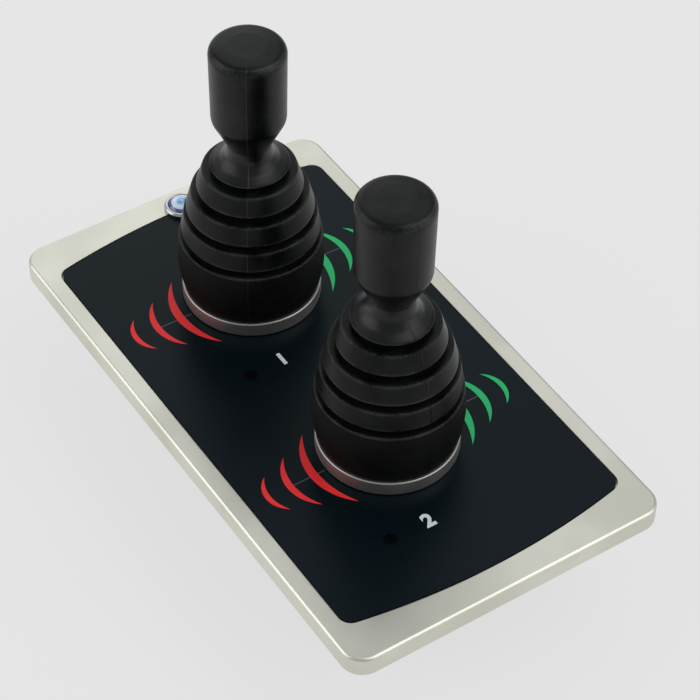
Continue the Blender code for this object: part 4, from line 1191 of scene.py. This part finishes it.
def make_housing():
    """The moulded box behind the plate, with screwed ears, board posts and the socket's window."""
    housing = slab("back_housing", rounded_box(26, -54.2, 64.3, 5), 0, HOUSING_TOP)
    bevel(housing, lambda e: level(e) and place_of(e).z < 0.01, 1.2, 5)
    ear_foot, ear_half = HOUSING_TOP - 3, 4.5
    for x, y in EAR_PLACES.values():
        way = math.copysign(1, x)
        low_x, high_x = sorted((25 * way, 32.4 * way))
        ear = bar("ear", low_x, high_x, y - ear_half, y + ear_half, ear_foot, HOUSING_TOP)
        bevel(ear, lambda e: upright(e) and abs(place_of(e).x) > 30, 1.6, 5)
        bevel(ear, lambda e: level(e) and place_of(e).z < ear_foot + 0.1 and sharp(e), 0.3)
        combine(housing, [ear], "UNION")
    combine(housing, [slab("cavity", rounded_box(24, -52.2, 62.3, 3), 2, 30)])
    posts = [post("post", 2.8, x, y, 1.5, 4.7, 32) for x, y in BOARD_POSTS]
    combine(housing, posts, "UNION")
    cuts = [post("bore", 1.4, x, y, 2.7, 6, 24) for x, y in BOARD_POSTS]
    cuts += [post("bore", 1.7, x, y, 24, 29, 32) for x, y in EAR_PLACES.values()]
    cuts.append(bar("window", -8.3, 8.3, 61.5, 66, 6.6, 16.4))
    combine(housing, cuts)
    bevel(housing, lambda e: sharp(e) and place_of(e).y > 64.2 and abs(place_of(e).x) < 8.5, 0.35)
    dress(housing, "housing_black", replaces=["rear_housing"])


def make_socket():
    """The bus socket: a moulded shroud round five gold contacts."""
    shroud = bar("cable_socket", -8, 8, 54.9, 64.9, 6.9, 16.1)
    bevel(shroud, lengthwise, 0.8, 4)
    mouth = bar("mouth", -6.6, 6.6, 56.3, 66, 8.3, 14.7)
    bevel(mouth, lengthwise, 0.5, 3)
    combine(shroud, [mouth])
    bevel(shroud, lambda e: place_of(e).y > 64.8 and sharp(e), 0.25)
    dress(shroud, "socket_grey", replaces=["bus_socket"])
    first = bar("contact_1", -5.0, -4.4, 56.0, 62.5, 11.2, 11.8)
    bevel(first, lambda e: place_of(e).y > 62, 0.22, 3)
    contacts, pitch = [first], 2.35
    for i in range(1, 5):
        contacts.append(twin(first, f"contact_{i + 1}", (pitch * i, 0, 0)))
    for contact in contacts:
        dress(contact, "contact_gold")


def hex_nut(name, flat, bore, x, y, bottom, top):
    """A hexagon nut, its corners turned down and its bore countersunk at both ends.

    The flat is half the nut's width over its flats, and the bore is a radius.
    """
    nut = post(name, flat / math.cos(math.pi / 6), x, y, bottom, top, 6)
    edit(nut)
    bpy.ops.mesh.select_all(action="SELECT")
    centre = Vector((x, y, 0)) * MM
    bpy.ops.transform.rotate(value=math.pi / 6, orient_axis="Z", center_override=centre)
    put_down()
    face, wide = 0.94 * flat, 1.16 * flat
    drop = 0.58 * (wide - face)
    blank = [(face, bottom), (wide, bottom + drop), (wide, top - drop), (face, top)]
    blank = [(0, bottom), *blank, (0, top)]
    combine(nut, [turned("blank", blank, x, y, 72)], "INTERSECT")
    sink = 0.35
    low, high, mouth = bottom - 1, top + 1, bore + 1 + sink
    hole = [(mouth, low), (bore, bottom + sink), (bore, top - sink), (mouth, high)]
    hole = [(0, low), *hole, (0, high)]
    return combine(nut, [turned("hole", hole, x, y, 48)])


def thread(name, radius, pitch, low, high):
    """A threaded rod on the upright axis through the origin, cut level at both ends.

    It is thinner towards its lower end, where a nut is started.
    """
    depth = 0.6 * pitch
    # The root's flat and then the crest's: parts of a pitch up, and depths
    section = ((0.0, depth), (0.12, depth), (0.45, 0.0), (0.67, 0.0))
    points = []
    height = low - pitch
    while height < high + pitch:
        reach = min(radius, 0.7 * radius + max(0.0, height - low))
        points += [(reach - sunk, 0, height + part * pitch) for part, sunk in section]
        height += pitch
    rod = draw(name, points)
    wind(rod, pitch)
    edit(rod)
    for height, way in ((low, -1), (high, 1)):
        bpy.ops.mesh.select_all(action="SELECT")
        bpy.ops.mesh.bisect(
            plane_co=(0, 0, height * MM), plane_no=(0, 0, way), use_fill=True, clear_outer=True
        )
    put_down()
    close_up(rod)
    return rod


def make_studs():
    """The four studs with their nuts."""
    first_stud = thread("stud", radius=2.0, pitch=0.7, low=15.0, high=31.0)
    first_nut = hex_nut("nut", flat=3.5, bore=1.9, x=0, y=0, bottom=18.3, top=21.5)
    for corner, (x, y) in STUD_PLACES.items():
        stud = twin(first_stud, f"stud_{corner}", (x, y, 0))
        dress(stud, "steel", replaces=[f"mounting_stud_{corner}"])
        nut = twin(first_nut, f"nut_{corner}", (x, y, 0))
        dress(nut, "steel", replaces=[f"stud_nut_{corner}"])
    bpy.data.objects.remove(first_stud)
    bpy.data.objects.remove(first_nut)


def make_ear_screws():
    """The pan-head screws, with crossed slots, that hold the housing to the plate."""
    shank = eased([(1.5, 30.6, 0), (1.5, 24.4, 0.05), (2.7, 24.4, 0.1), (2.7, 23.4, 0.5)])
    profile = [(0, 30.9), (1.2, 30.9), *shank, (2.2, 22.75), (1.3, 22.55), (0, 22.5)]
    first = turned("screw", profile, sides=48)
    for half_x, half_y in ((1.35, 0.28), (0.28, 1.35)):
        slot = bar("slot", -half_x, half_x, -half_y, half_y, 22, 23.5)
        bevel(slot, upright, 0.08)
        combine(first, [slot])
    for corner, (x, y) in EAR_PLACES.items():
        screw = twin(first, f"ear_screw_{corner}", (x, y, 0))
        dress(screw, "steel", replaces=[f"housing_screw_{corner}"])
    bpy.data.objects.remove(first)


def make_button_back():
    """The button's nut, and the switch under it with a well for the lens's stem."""
    nut = hex_nut("button_nut", 4.2, 3.2, 0, BUTTON_Y, 25.3, HOUSING_TOP)
    dress(nut, "steel", replaces=["power_button_nut"])
    well, body, top, foot = 1.3, 3.5, 22.3, 17.3
    corners = [(well, WELL_FLOOR, 0), (well, top, 0.1), (body, top, 0.4), (body, foot, 0.4)]
    profile = [(0, WELL_FLOOR), *eased([*corners, (1, foot, 0)]), (0, foot)]
    switch = turned("button_switch", profile, 0, BUTTON_Y, 64)
    dress(switch, "chip_black", replaces=["power_button_switch"])


# Building it all

make_camera()
make_studio()
make_bezel()
make_film()
make_marks()
make_figures()
make_windows()
for end, y in STICKS.items():
    make_collar(end, y)
    make_stick(end, y)
make_button()
make_button_spring()
make_button_back()
make_gasket()
make_housing()
make_socket()
make_studs()
make_ear_screws()

slots = {item["node"]: item["material_slot"] for item in frame["record"]["subparts"]}
for name, node in frame["nodes"].items():
    if not node.hide_render:
        node.data.materials.clear()
        node.data.materials.append(FINISHES[slots[name]])

bpy.context.scene.view_settings.view_transform = "Standard"
